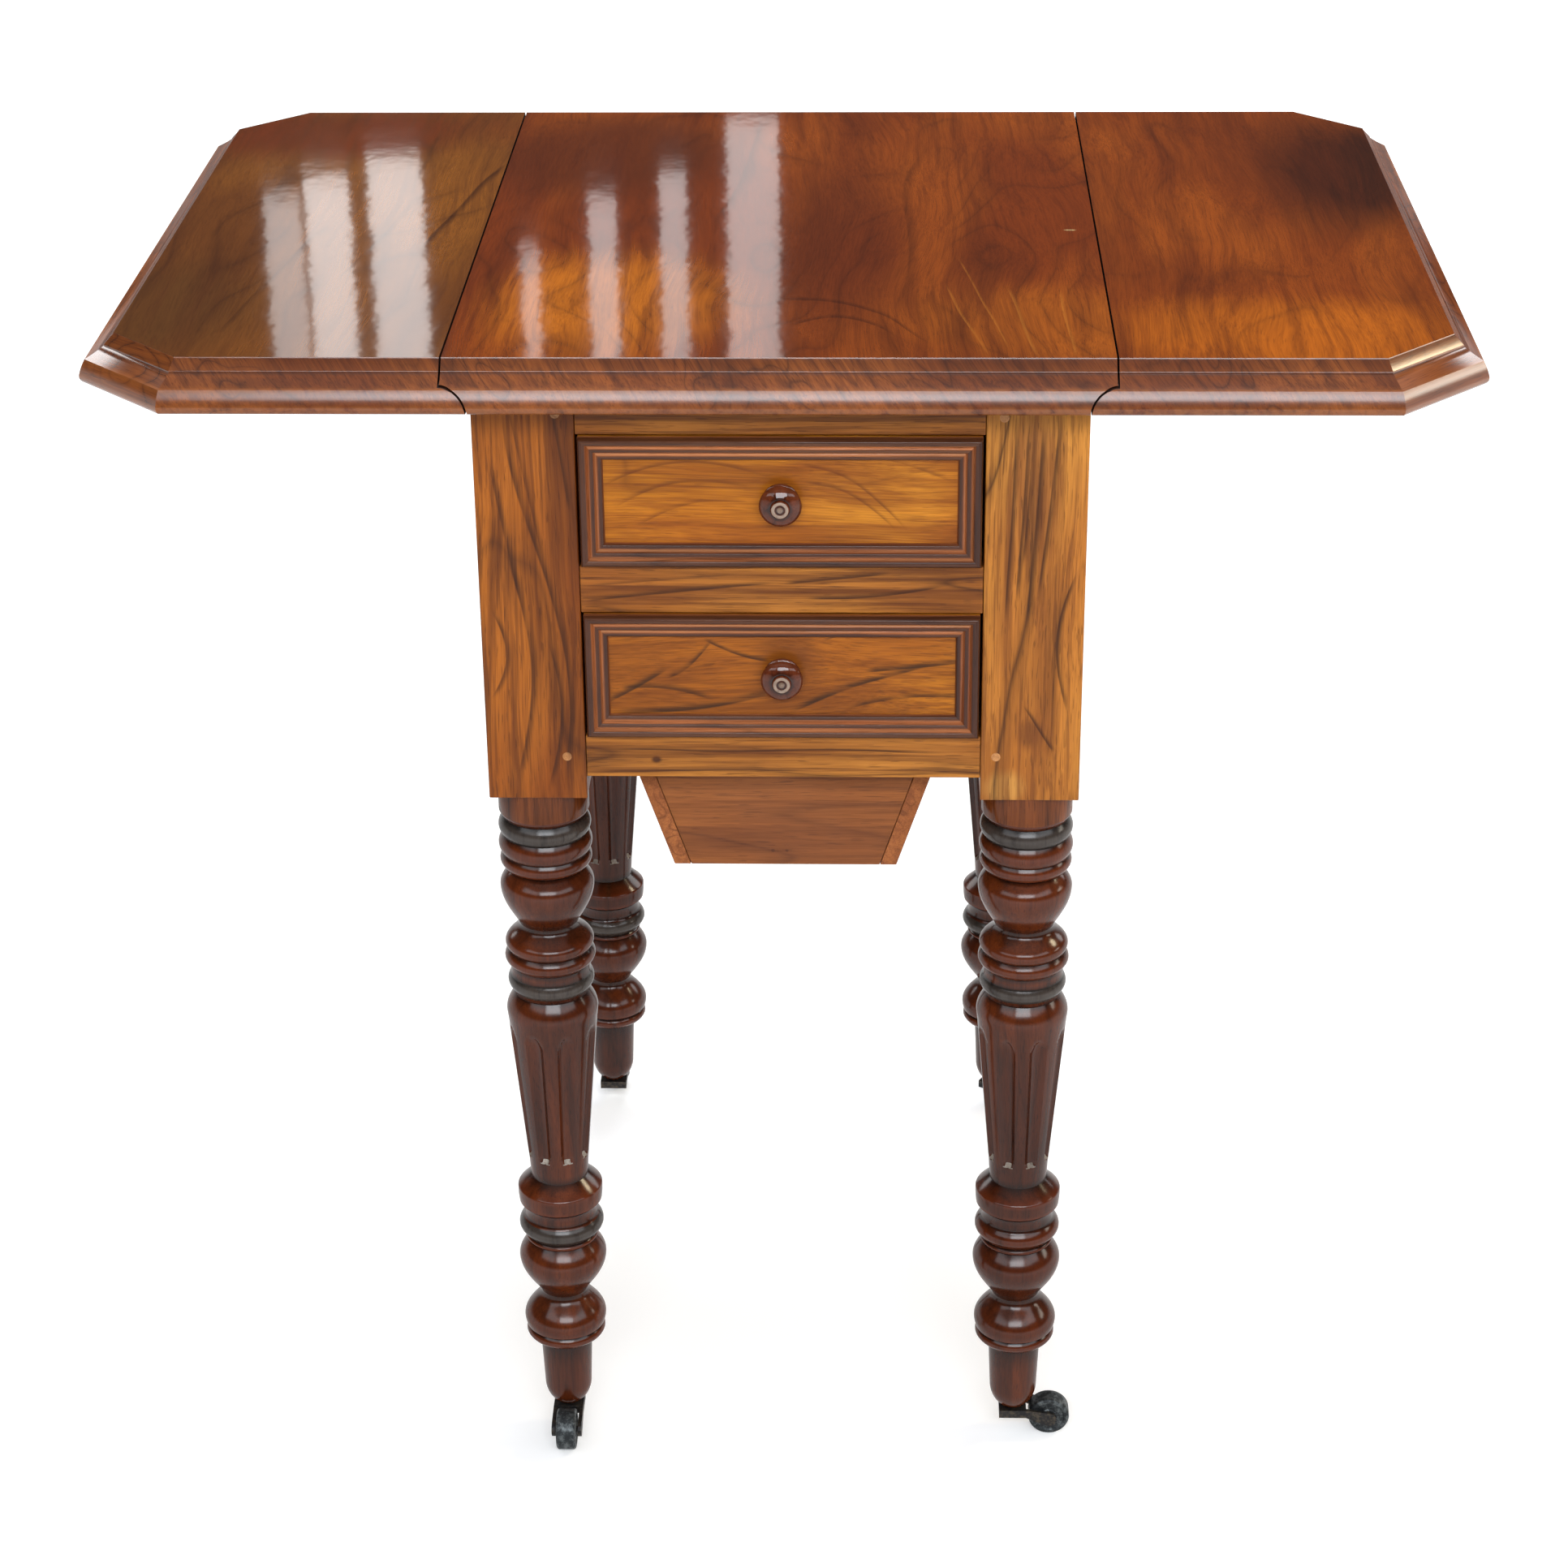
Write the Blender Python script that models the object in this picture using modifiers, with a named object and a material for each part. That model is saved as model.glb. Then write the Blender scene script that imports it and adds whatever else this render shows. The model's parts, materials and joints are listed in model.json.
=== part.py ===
"""Drop-leaf bedside table with two drawers, a hanging well and turned legs on casters.

Metres, +Z up. The front faces -Y, and the origin is on the floor under the middle of the table.
At rest the leaves are up, and the drawers, the well and the lopers are in.
"""

import math

import bmesh
import bpy
from mathutils import Matrix

# Clearances
SEAT_GAP = 0.0003
RUNNING_GAP = 0.0005
FRONT_GAP = 0.0008
CUT_MARGIN = 0.002

# Case
CASE_WIDTH = 0.337
CASE_DEPTH = 0.4542
LEG_SIZE = 0.0563
BLOCK_DROP = 0.0142
BOTTOM_RAIL_HEIGHT = 0.0256
LOWER_OPENING = 0.076
MIDDLE_RAIL_HEIGHT = 0.028
UPPER_OPENING = 0.0773
TOP_RAIL_HEIGHT = 0.0239
RAIL_DEPTH = 0.022
RAIL_TENON_LENGTH = 0.025
RAIL_TENON_SHOULDER = 0.003
PANEL_THICKNESS = 0.018
PANEL_SETBACK = 0.004
PANEL_TENON_LENGTH = 0.012
PANEL_TENON_SHOULDER = 0.010
TENON_THICKNESS = 0.008

# Turned legs
TURNED_HEIGHT = 0.4582
FOOT_HEIGHT = 0.020
LEG_SIDES = 16
FLUTE_DEPTH = 0.0032
FLUTE_FADE = 0.08
NECK_RADIUS = 0.0264
# Each turning is its shape, length, end radius, swell and steps, from the block down.
UPPER_TURNINGS = (
    ("straight", 0.0182, 0.0264, 0.0, 1),
    ("straight", 0.0040, 0.0243, 0.0, 1),
    ("bead", 0.0117, 0.0250, 0.0024, 2),
    ("bead", 0.0125, 0.0252, 0.0023, 2),
    ("bead", 0.0083, 0.0250, 0.0018, 2),
    ("straight", 0.0022, 0.0208, 0.0, 1),
    ("round_out", 0.0108, 0.0276, 0.0, 2),
    ("ogee", 0.0240, 0.0175, 0.0, 3),
    ("round_in", 0.0070, 0.0208, 0.0, 1),
    ("bead", 0.0118, 0.0244, 0.0034, 2),
    ("bead", 0.0102, 0.0237, 0.0028, 2),
    ("straight", 0.0060, 0.0237, 0.0, 1),
    ("bead", 0.0095, 0.0237, 0.0019, 2),
    ("straight", 0.0035, 0.0240, 0.0, 1),
    ("round_out", 0.0120, 0.0273, 0.0, 2),
    ("straight", 0.0210, 0.0250, 0.0, 1),
)
FLUTED_END_RADIUS = 0.0180
LOWER_TURNINGS = (
    ("straight", 0.0090, 0.0174, 0.0, 1),
    ("round_in", 0.0120, 0.0258, 0.0, 2),
    ("bead", 0.0130, 0.0252, 0.0010, 2),
    ("bead", 0.0130, 0.0248, -0.0018, 2),
    ("bead", 0.0095, 0.0248, 0.0019, 2),
    ("straight", 0.0020, 0.0250, 0.0, 1),
    ("round_out", 0.0145, 0.0275, 0.0, 2),
    ("round_in", 0.0280, 0.0152, 0.0, 3),
    ("straight", 0.0060, 0.0156, 0.0, 1),
    ("round_in", 0.0120, 0.0254, 0.0, 2),
    ("bead", 0.0090, 0.0250, 0.0016, 2),
    ("bead", 0.0075, 0.0238, 0.0022, 2),
    ("straight", 0.0045, 0.0176, 0.0, 1),
    ("straight", 0.0290, 0.0152, 0.0, 1),
    ("dome", 0.0160, 0.0060, 0.0, 3),
)

# Top and leaves
TOP_THICKNESS = 0.0265
TOP_FLAT_DEPTH = 0.4914
LEAF_REACH = 0.3644
LEAF_CORNER = 0.0405
JOINT_X = 0.1809
RULE_RADIUS = 0.0145
LEAF_DROP_STEPS = 6
EDGE_FILLET = 0.0012
EDGE_OVOLO_OUT = 0.0045
EDGE_OVOLO_DOWN = 0.0048
EDGE_QUIRK = 0.0012
EDGE_COVE_OUT = 0.0085
EDGE_COVE_DOWN = 0.0055
EDGE_PROJECTION = 0.0195
NOSE_RADIUS = 0.0070
NOSE_START_DEG = -75.0

# Leaf hinges
HINGE_Y = 0.105
HINGE_LENGTH = 0.050
HINGE_MIDDLE = 0.0166
HINGE_BARREL_RADIUS = 0.0030
HINGE_PIN_RADIUS = 0.0014
HINGE_FLAP_THICKNESS = 0.0018
FIXED_FLAP_REACH = 0.042
MOVING_FLAP_REACH = 0.055
HINGE_SIDES = 12

# Lopers, the sliding bars that hold the leaves up
LOPER_WIDTH = 0.028
LOPER_HEIGHT = 0.0155
LOPER_HEADROOM = 0.0008
LOPER_INNER_GAP = 0.004
BEARER_THICKNESS = 0.007
BEARER_RIDGE = 0.007
BEARER_FENCE = 0.012

# Drawers
DRAWER_LENGTH = 0.4171
DRAWER_FRONT_THICKNESS = 0.020
DRAWER_SIDE_THICKNESS = 0.010
DRAWER_BACK_THICKNESS = 0.009
DRAWER_BOTTOM_THICKNESS = 0.006
DRAWER_HEADROOM = 0.011
DRAWER_GROOVE_DEPTH = 0.004
DRAWER_GROOVE_HEIGHT = 0.008
RUNNER_THICKNESS = 0.015
RUNNER_LEDGE = 0.0142
GUIDE_HEIGHT = 0.015
FRAME_EDGE_HEIGHT = 0.0030
# Each reed of the drawer frame is its width, its crest and the groove after it, from the outside in.
FRAME_REEDS = (
    (0.0050, 0.0052, 0.0026),
    (0.0042, 0.0038, 0.0014),
    (0.0043, 0.0024, 0.0),
)

# Knobs
KNOB_RADIUS = 0.0118
KNOB_BASE_RADIUS = 0.0105
KNOB_BASE_THICKNESS = 0.0013
KNOB_NECK_RADIUS = 0.0076
KNOB_REACH = 0.0140
KNOB_BOSS_RADIUS = 0.0052
KNOB_BOSS_HEIGHT = 0.0022
KNOB_STEM_RADIUS = 0.0040
KNOB_STEM_LENGTH = 0.0160
KNOB_SIDES = 16

# Well
WELL_SETBACK = 0.027
WELL_LENGTH = 0.365
WELL_DEPTH = 0.0694
WELL_TOP_WIDTH = 0.1768
WELL_BOTTOM_WIDTH = 0.1297
WELL_BOARD = 0.0095
WELL_FLOOR_THICKNESS = 0.007
WELL_FLOOR_HEIGHT = 0.0015
WELL_BATTEN_OUT = 0.0121
WELL_BATTEN_HEIGHT = 0.0064
WELL_RUNNER_LIP = 0.0035
WELL_SIDE_GAP = 0.0016

# Casters
CASTER_TRAIL = 0.023
WHEEL_RADIUS = 0.013
WHEEL_WIDTH = 0.0124
WHEEL_EDGE = 0.0016
WHEEL_SIDES = 20
AXLE_RADIUS = 0.0020
YOKE_PLATE_THICKNESS = 0.0055
YOKE_PLATE_REACH = 0.0085
YOKE_ARM_THICKNESS = 0.0024
YOKE_ARM_GAP = 0.0008
YOKE_EYE_RADIUS = 0.0048
PIVOT_RADIUS = 0.0030
PIVOT_LENGTH = 0.0180
PIVOT_HEAD_RADIUS = 0.0048
PIVOT_HEAD_THICKNESS = 0.0024
CASTER_SIDES = 12
# The way each caster trails, in degrees from +X.
CASTER_TRAIL_DEG = {"front_left": -90.0, "front_right": 0.0, "back_left": 90.0, "back_right": 60.0}

# Heights and half widths that follow from the sizes above
HALF_WIDTH = CASE_WIDTH / 2
HALF_DEPTH = CASE_DEPTH / 2
FRONT_Y = -HALF_DEPTH
INNER_X = HALF_WIDTH - LEG_SIZE
INNER_Y = HALF_DEPTH - LEG_SIZE
BOTTOM_RAIL_Z = TURNED_HEIGHT + BLOCK_DROP
LOWER_FLOOR_Z = BOTTOM_RAIL_Z + BOTTOM_RAIL_HEIGHT
MIDDLE_RAIL_Z = LOWER_FLOOR_Z + LOWER_OPENING
UPPER_FLOOR_Z = MIDDLE_RAIL_Z + MIDDLE_RAIL_HEIGHT
TOP_RAIL_Z = UPPER_FLOOR_Z + UPPER_OPENING
CASE_TOP_Z = TOP_RAIL_Z + TOP_RAIL_HEIGHT
TOP_UNDER_Z = CASE_TOP_Z + SEAT_GAP
TOP_Z = TOP_UNDER_Z + TOP_THICKNESS
PANEL_OUTER_X = HALF_WIDTH - PANEL_SETBACK
PANEL_INNER_X = PANEL_OUTER_X - PANEL_THICKNESS
BACK_OUTER_Y = HALF_DEPTH - PANEL_SETBACK
BACK_INNER_Y = BACK_OUTER_Y - PANEL_THICKNESS
RAIL_BACK_Y = FRONT_Y + RAIL_DEPTH
DRAWER_HALF_WIDTH = INNER_X - 2 * FRONT_GAP
LOPER_TOP_Z = TOP_UNDER_Z - LOPER_HEADROOM
LOPER_UNDER_Z = LOPER_TOP_Z - LOPER_HEIGHT
LOPER_Y = (BEARER_RIDGE + LOPER_WIDTH) / 2 + RUNNING_GAP
WELL_TOP_Z = BOTTOM_RAIL_Z - RUNNING_GAP
WELL_FRONT_Y = FRONT_Y + WELL_SETBACK
WELL_BACK_Y = WELL_FRONT_Y + WELL_LENGTH
# A wheel rolls on a flat of its rim, so its axle is a little lower than its radius.
AXLE_HEIGHT = WHEEL_RADIUS * math.cos(math.pi / WHEEL_SIDES)

SIDES = {"left": -1, "right": 1}
ENDS = {"front": -1, "back": 1}

WOOD_COLOURS = {
    "leg_wood": (0.17, 0.060, 0.030, 0.30),
    "case_wood": (0.36, 0.165, 0.055, 0.40),
    "top_wood": (0.27, 0.105, 0.045, 0.25),
    "moulding_wood": (0.15, 0.060, 0.045, 0.35),
    "drawer_wood": (0.42, 0.190, 0.050, 0.38),
    "inner_wood": (0.40, 0.260, 0.130, 0.65),
    "well_wood": (0.24, 0.090, 0.045, 0.60),
}
IRON_COLOUR = (0.060, 0.058, 0.052, 0.45)


def clear_scene():
    for obj in list(bpy.data.objects):
        bpy.data.objects.remove(obj, do_unlink=True)


def new_collection(name):
    collection = bpy.data.collections.new(name)
    bpy.context.scene.collection.children.link(collection)
    return collection


def make_material(name, colour, metallic):
    material = bpy.data.materials.new(name)
    material.use_nodes = True
    shader = material.node_tree.nodes["Principled BSDF"]
    shader.inputs["Base Color"].default_value = (*colour[:3], 1.0)
    shader.inputs["Roughness"].default_value = colour[3]
    shader.inputs["Metallic"].default_value = metallic
    return material


clear_scene()
PARTS = new_collection("drop_leaf_bedside_table")
CUTTERS = new_collection("cutters")
MATERIALS = {name: make_material(name, colour, 0.0) for name, colour in WOOD_COLOURS.items()}
MATERIALS["iron"] = make_material("iron", IRON_COLOUR, 0.9)


# Meshes
def box_mesh(low, high):
    shape = bmesh.new()
    bmesh.ops.create_cube(shape, size=1.0)
    size = [top - bottom for bottom, top in zip(low, high)]
    middle = [(top + bottom) / 2 for bottom, top in zip(low, high)]
    bmesh.ops.scale(shape, vec=size, verts=shape.verts)
    bmesh.ops.translate(shape, vec=middle, verts=shape.verts)
    return to_mesh(shape)


def cylinder_mesh(radius, axis, centre, start, end, sides):
    """A cylinder along an axis, with its centre line at the other two coordinates."""
    shape = bmesh.new()
    bmesh.ops.create_cone(
        shape, cap_ends=True, segments=sides, radius1=radius, radius2=radius, depth=end - start
    )
    bmesh.ops.transform(shape, matrix=axis_frame(axis), verts=shape.verts)
    along = (start + end) / 2
    offset = {"X": (along, *centre), "Y": (centre[0], along, centre[1]), "Z": (*centre, along)}[axis]
    bmesh.ops.translate(shape, vec=offset, verts=shape.verts)
    return to_mesh(shape)


def prism_mesh(outline, axis, start, end):
    """A flat outline, in the two coordinates other than the axis, pushed out along the axis."""
    curve = bpy.data.curves.new("outline", "CURVE")
    curve.dimensions = "2D"
    curve.fill_mode = "BOTH"
    curve.extrude = (end - start) / 2
    spline = curve.splines.new("POLY")
    spline.points.add(len(outline) - 1)
    for point, (across, up) in zip(spline.points, outline):
        point.co = (across, up, 0.0, 1.0)
    spline.use_cyclic_u = True
    guide = bpy.data.objects.new("outline", curve)
    mesh = evaluated_mesh(guide)
    bpy.data.curves.remove(curve)
    shape = bmesh.new()
    shape.from_mesh(mesh)
    bmesh.ops.remove_doubles(shape, verts=shape.verts, dist=1e-6)
    bmesh.ops.transform(shape, matrix=axis_frame(axis), verts=shape.verts)
    along = Matrix.Translation([(start + end) / 2 if name == axis else 0.0 for name in "XYZ"])
    bmesh.ops.transform(shape, matrix=along, verts=shape.verts)
    bmesh.ops.recalc_face_normals(shape, faces=shape.faces)
    return to_mesh(shape)


def lathe_mesh(profile, sides, closed=False):
    """A profile of (radius, height) points, from the top down, turned round Z."""
    edges = [(i, i + 1) for i in range(len(profile) - 1)]
    if closed:
        edges.append((len(profile) - 1, 0))
    line = bpy.data.meshes.new("profile")
    line.from_pydata([(radius, 0.0, height) for radius, height in profile], edges, [])
    guide = bpy.data.objects.new("profile", line)
    screw = guide.modifiers.new("turn", "SCREW")
    screw.steps = sides
    screw.render_steps = sides
    screw.use_merge_vertices = True
    screw.merge_threshold = 1e-5
    mesh = evaluated_mesh(guide)
    bpy.data.meshes.remove(line)
    return mesh


def ring_mesh(rings, closed):
    """Faces between rings of points. The end rings are capped, or the last ring meets the first."""
    shape = bmesh.new()
    loops = [[shape.verts.new(point) for point in ring] for ring in rings]
    pairs = list(zip(loops, loops[1:]))
    if closed:
        pairs.append((loops[-1], loops[0]))
    else:
        shape.faces.new(loops[0])
        shape.faces.new(loops[-1])
    for first, second in pairs:
        for i in range(len(first)):
            j = (i + 1) % len(first)
            shape.faces.new((first[i], first[j], second[j], second[i]))
    bmesh.ops.recalc_face_normals(shape, faces=shape.faces)
    return to_mesh(shape)


def to_mesh(shape):
    mesh = bpy.data.meshes.new("shape")
    shape.to_mesh(mesh)
    shape.free()
    return mesh


def axis_frame(axis):
    """Takes a drawing's plane to the plane across an axis, and its thickness to the axis."""
    return {
        "X": Matrix(((0, 0, 1, 0), (1, 0, 0, 0), (0, 1, 0, 0), (0, 0, 0, 1))),
        "Y": Matrix(((1, 0, 0, 0), (0, 0, -1, 0), (0, 1, 0, 0), (0, 0, 0, 1))),
        "Z": Matrix.Identity(4),
    }[axis]


def evaluated_mesh(guide):
    """The mesh of a guide object after its modifiers. The guide is removed."""
    bpy.context.scene.collection.objects.link(guide)
    graph = bpy.context.evaluated_depsgraph_get()
    mesh = bpy.data.meshes.new_from_object(guide.evaluated_get(graph))
    bpy.data.objects.remove(guide, do_unlink=True)
    return mesh


# Objects
def add_part(name, mesh, material, parent=None):
    """A named piece. A mesh under a parent is in world places unless it is seated by its own matrix."""
    mesh.name = name
    mesh.materials.clear()
    mesh.materials.append(MATERIALS[material])
    obj = bpy.data.objects.new(name, mesh)
    PARTS.objects.link(obj)
    if parent:
        obj.parent = parent
        obj.matrix_parent_inverse = parent.matrix_world.inverted()
    return obj


def add_round_part(name, mesh, material, parent=None):
    mesh.shade_smooth()
    mesh.set_sharp_from_angle(angle=math.radians(35))
    return add_part(name, mesh, material, parent)


def add_joint(name, place, parent=None, turn=0.0):
    """An empty on a joint's axis, turned about Z."""
    empty = bpy.data.objects.new(name, None)
    empty.empty_display_size = 0.03
    PARTS.objects.link(empty)
    empty.parent = parent
    empty.location = place
    empty.rotation_euler = (0.0, 0.0, turn)
    bpy.context.view_layer.update()
    return empty


def use_tool(target, mesh, operation, parent=None):
    """Cuts a mesh from a piece, or joins it to the piece."""
    tool = bpy.data.objects.new(f"{target.name}_{operation.lower()}", mesh)
    tool.hide_render = True
    tool.display_type = "WIRE"
    CUTTERS.objects.link(tool)
    if parent:
        tool.parent = parent
    modifier = target.modifiers.new(operation.lower(), "BOOLEAN")
    modifier.operation = operation
    modifier.object = tool


def cut(target, mesh, parent=None):
    use_tool(target, mesh, "DIFFERENCE", parent)


def join(target, mesh, parent=None):
    use_tool(target, mesh, "UNION", parent)


def mirrored(points, side):
    """An outline's first coordinate, on the left or the right."""
    return [(side * across, up) for across, up in points]


def spread(side, near, far):
    """Two X places on one side, lowest first."""
    return sorted((side * near, side * far))


def arc(centre, radius, start_deg, end_deg, steps):
    angles = [math.radians(start_deg + (end_deg - start_deg) * i / steps) for i in range(steps + 1)]
    return [(centre[0] + radius * math.cos(a), centre[1] + radius * math.sin(a)) for a in angles]


# Legs
def turning_radius(shape, start, end, swell, t):
    """The radius at a share t of a turning's length."""
    if shape == "bead":
        return start + (end - start) * t + swell * math.sin(math.pi * t)
    if shape == "ogee":
        return start + (end - start) * t * t * (3 - 2 * t)
    if shape == "round_out":
        return start + (end - start) * math.sin(math.pi * t / 2)
    if shape == "round_in":
        return start + (end - start) * (1 - math.cos(math.pi * t / 2))
    if shape == "dome":
        return start * math.sqrt(1 - t * t * (1 - (end / start) ** 2))
    return start + (end - start) * t


def turn_down(points, turnings):
    """Adds the points of some turnings below the last point."""
    for shape, length, end, swell, steps in turnings:
        start, height = points[-1]
        for step in range(1, steps + 1):
            t = step / steps
            points.append((turning_radius(shape, start, end, swell, t), height - length * t))
    return points


def leg_profile():
    """The turned profile, with the fluted taper filling the height that the other turnings leave."""
    points = turn_down([(NECK_RADIUS, TURNED_HEIGHT)], UPPER_TURNINGS)
    fluted_top = points[-1]
    lower_length = sum(turning[1] for turning in LOWER_TURNINGS)
    fluted_length = fluted_top[1] - FOOT_HEIGHT - lower_length
    for t in (FLUTE_FADE, 0.5, 1 - FLUTE_FADE, 1.0):
        radius = turning_radius("straight", fluted_top[0], FLUTED_END_RADIUS, 0.0, t)
        points.append((radius, fluted_top[1] - fluted_length * t))
    fluted_foot = points[-1]
    turn_down(points, LOWER_TURNINGS)
    block_seat = (NECK_RADIUS, TURNED_HEIGHT + BLOCK_DROP / 2)
    points = [(0.0, block_seat[1]), block_seat, *points[1:], (0.0, FOOT_HEIGHT)]
    return points, fluted_top[1], fluted_foot[1]


def turned_leg_mesh():
    points, flute_top, flute_foot = leg_profile()
    mesh = lathe_mesh(points, LEG_SIDES)
    for vertex in mesh.vertices:
        radius = math.hypot(vertex.co.x, vertex.co.y)
        if radius == 0.0 or not flute_foot + SEAT_GAP < vertex.co.z < flute_top - SEAT_GAP:
            continue
        sector = round(math.atan2(vertex.co.y, vertex.co.x) / (2 * math.pi / LEG_SIDES))
        if sector % 2:
            shrink = (radius - FLUTE_DEPTH) / radius
            vertex.co.x *= shrink
            vertex.co.y *= shrink
    return mesh


def make_leg(end_name, side_name):
    side, end = SIDES[side_name], ENDS[end_name]
    x, y = side * (HALF_WIDTH - LEG_SIZE / 2), end * (HALF_DEPTH - LEG_SIZE / 2)
    mesh = turned_leg_mesh()
    mesh.transform(Matrix.Translation((x, y, 0.0)))
    leg = add_round_part(f"leg_{end_name}_{side_name}", mesh, "leg_wood")
    half = LEG_SIZE / 2
    join(leg, box_mesh((x - half, y - half, TURNED_HEIGHT), (x + half, y + half, CASE_TOP_Z)))
    cut(leg, side_panel_tenon(side, SEAT_GAP))
    if end < 0:
        for low, height in front_rails().values():
            cut(leg, rail_tenon(low, height, SEAT_GAP))
    else:
        cut(leg, back_panel_tenon(SEAT_GAP))
    bore = PIVOT_RADIUS + SEAT_GAP
    top = FOOT_HEIGHT + PIVOT_LENGTH + SEAT_GAP
    cut(leg, cylinder_mesh(bore, "Z", (x, y), FOOT_HEIGHT - CUT_MARGIN, top, CASTER_SIDES))


# Rails and panels
def front_rails():
    """The lower edge and the height of each front rail."""
    return {
        "front_bottom_rail": (BOTTOM_RAIL_Z, BOTTOM_RAIL_HEIGHT),
        "front_middle_rail": (MIDDLE_RAIL_Z, MIDDLE_RAIL_HEIGHT),
        "front_top_rail": (TOP_RAIL_Z, TOP_RAIL_HEIGHT),
    }


def rail_tenon(low, height, ease):
    """A rail's tenons, as one bar from leg to leg, grown by an ease for their mortises."""
    reach = INNER_X + RAIL_TENON_LENGTH + ease
    middle = FRONT_Y + RAIL_DEPTH / 2
    half = TENON_THICKNESS / 2 + ease
    inset = RAIL_TENON_SHOULDER - ease
    return box_mesh((-reach, middle - half, low + inset), (reach, middle + half, low + height - inset))


def side_panel_tenon(side, ease):
    reach = INNER_Y + PANEL_TENON_LENGTH + ease
    middle = (PANEL_INNER_X + PANEL_OUTER_X) / 2
    left, right = spread(side, middle - TENON_THICKNESS / 2 - ease, middle + TENON_THICKNESS / 2 + ease)
    inset = PANEL_TENON_SHOULDER - ease
    return box_mesh((left, -reach, BOTTOM_RAIL_Z + inset), (right, reach, CASE_TOP_Z - inset))


def back_panel_tenon(ease):
    reach = INNER_X + PANEL_TENON_LENGTH + ease
    middle = (BACK_INNER_Y + BACK_OUTER_Y) / 2
    half = TENON_THICKNESS / 2 + ease
    inset = PANEL_TENON_SHOULDER - ease
    low = (-reach, middle - half, BOTTOM_RAIL_Z + inset)
    return box_mesh(low, (reach, middle + half, CASE_TOP_Z - inset))


def make_front_rails():
    half = INNER_X - SEAT_GAP
    for name, (low, height) in front_rails().items():
        mesh = box_mesh((-half, FRONT_Y, low), (half, RAIL_BACK_Y, low + height))
        rail = add_part(name, mesh, "case_wood")
        join(rail, rail_tenon(low, height, 0.0))


def make_back_panel():
    half = INNER_X - SEAT_GAP
    low, high = (-half, BACK_INNER_Y, BOTTOM_RAIL_Z), (half, BACK_OUTER_Y, CASE_TOP_Z)
    panel = add_part("back_panel", box_mesh(low, high), "case_wood")
    join(panel, back_panel_tenon(0.0))


def make_side_panel(side_name):
    """A side of the case, notched at its top for the loper and for the fixed hinge flaps."""
    side = SIDES[side_name]
    half = INNER_Y - SEAT_GAP
    left, right = spread(side, PANEL_INNER_X, PANEL_OUTER_X)
    mesh = box_mesh((left, -half, BOTTOM_RAIL_Z), (right, half, CASE_TOP_Z))
    panel = add_part(f"side_panel_{side_name}", mesh, "case_wood")
    join(panel, side_panel_tenon(side, 0.0))
    notch_left, notch_right = left - CUT_MARGIN, right + CUT_MARGIN
    over = CASE_TOP_Z + CUT_MARGIN
    loper_half = LOPER_WIDTH / 2 + RUNNING_GAP
    loper_y = side * LOPER_Y
    low = (notch_left, loper_y - loper_half, LOPER_UNDER_Z - SEAT_GAP)
    cut(panel, box_mesh(low, (notch_right, loper_y + loper_half, over)))
    flap_half = HINGE_LENGTH / 2 + RUNNING_GAP
    flap_low = TOP_UNDER_Z - SEAT_GAP - HINGE_FLAP_THICKNESS - RUNNING_GAP
    for end in ENDS.values():
        low = (notch_left, end * HINGE_Y - flap_half, flap_low)
        cut(panel, box_mesh(low, (notch_right, end * HINGE_Y + flap_half, over)))


# Runners
def make_upper_runner(side_name):
    """Carries the upper drawer, guides its side and stops the lower drawer from tipping."""
    side = SIDES[side_name]
    inner, outer = INNER_X - RUNNER_LEDGE, PANEL_INNER_X - SEAT_GAP
    guide = DRAWER_HALF_WIDTH + RUNNING_GAP
    low, top = UPPER_FLOOR_Z - RUNNER_THICKNESS, UPPER_FLOOR_Z + GUIDE_HEIGHT
    outline = [(inner, low), (outer, low), (outer, top), (guide, top)]
    outline += [(guide, UPPER_FLOOR_Z), (inner, UPPER_FLOOR_Z)]
    reach = INNER_Y - SEAT_GAP
    mesh = prism_mesh(mirrored(outline, side), "Y", -reach, reach)
    runner = add_part(f"upper_runner_{side_name}", mesh, "inner_wood")
    left, right = spread(side, inner, INNER_X - SEAT_GAP)
    low_corner = (left, RAIL_BACK_Y + SEAT_GAP, low)
    join(runner, box_mesh(low_corner, (right, CUT_MARGIN - reach, UPPER_FLOOR_Z)))


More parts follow.
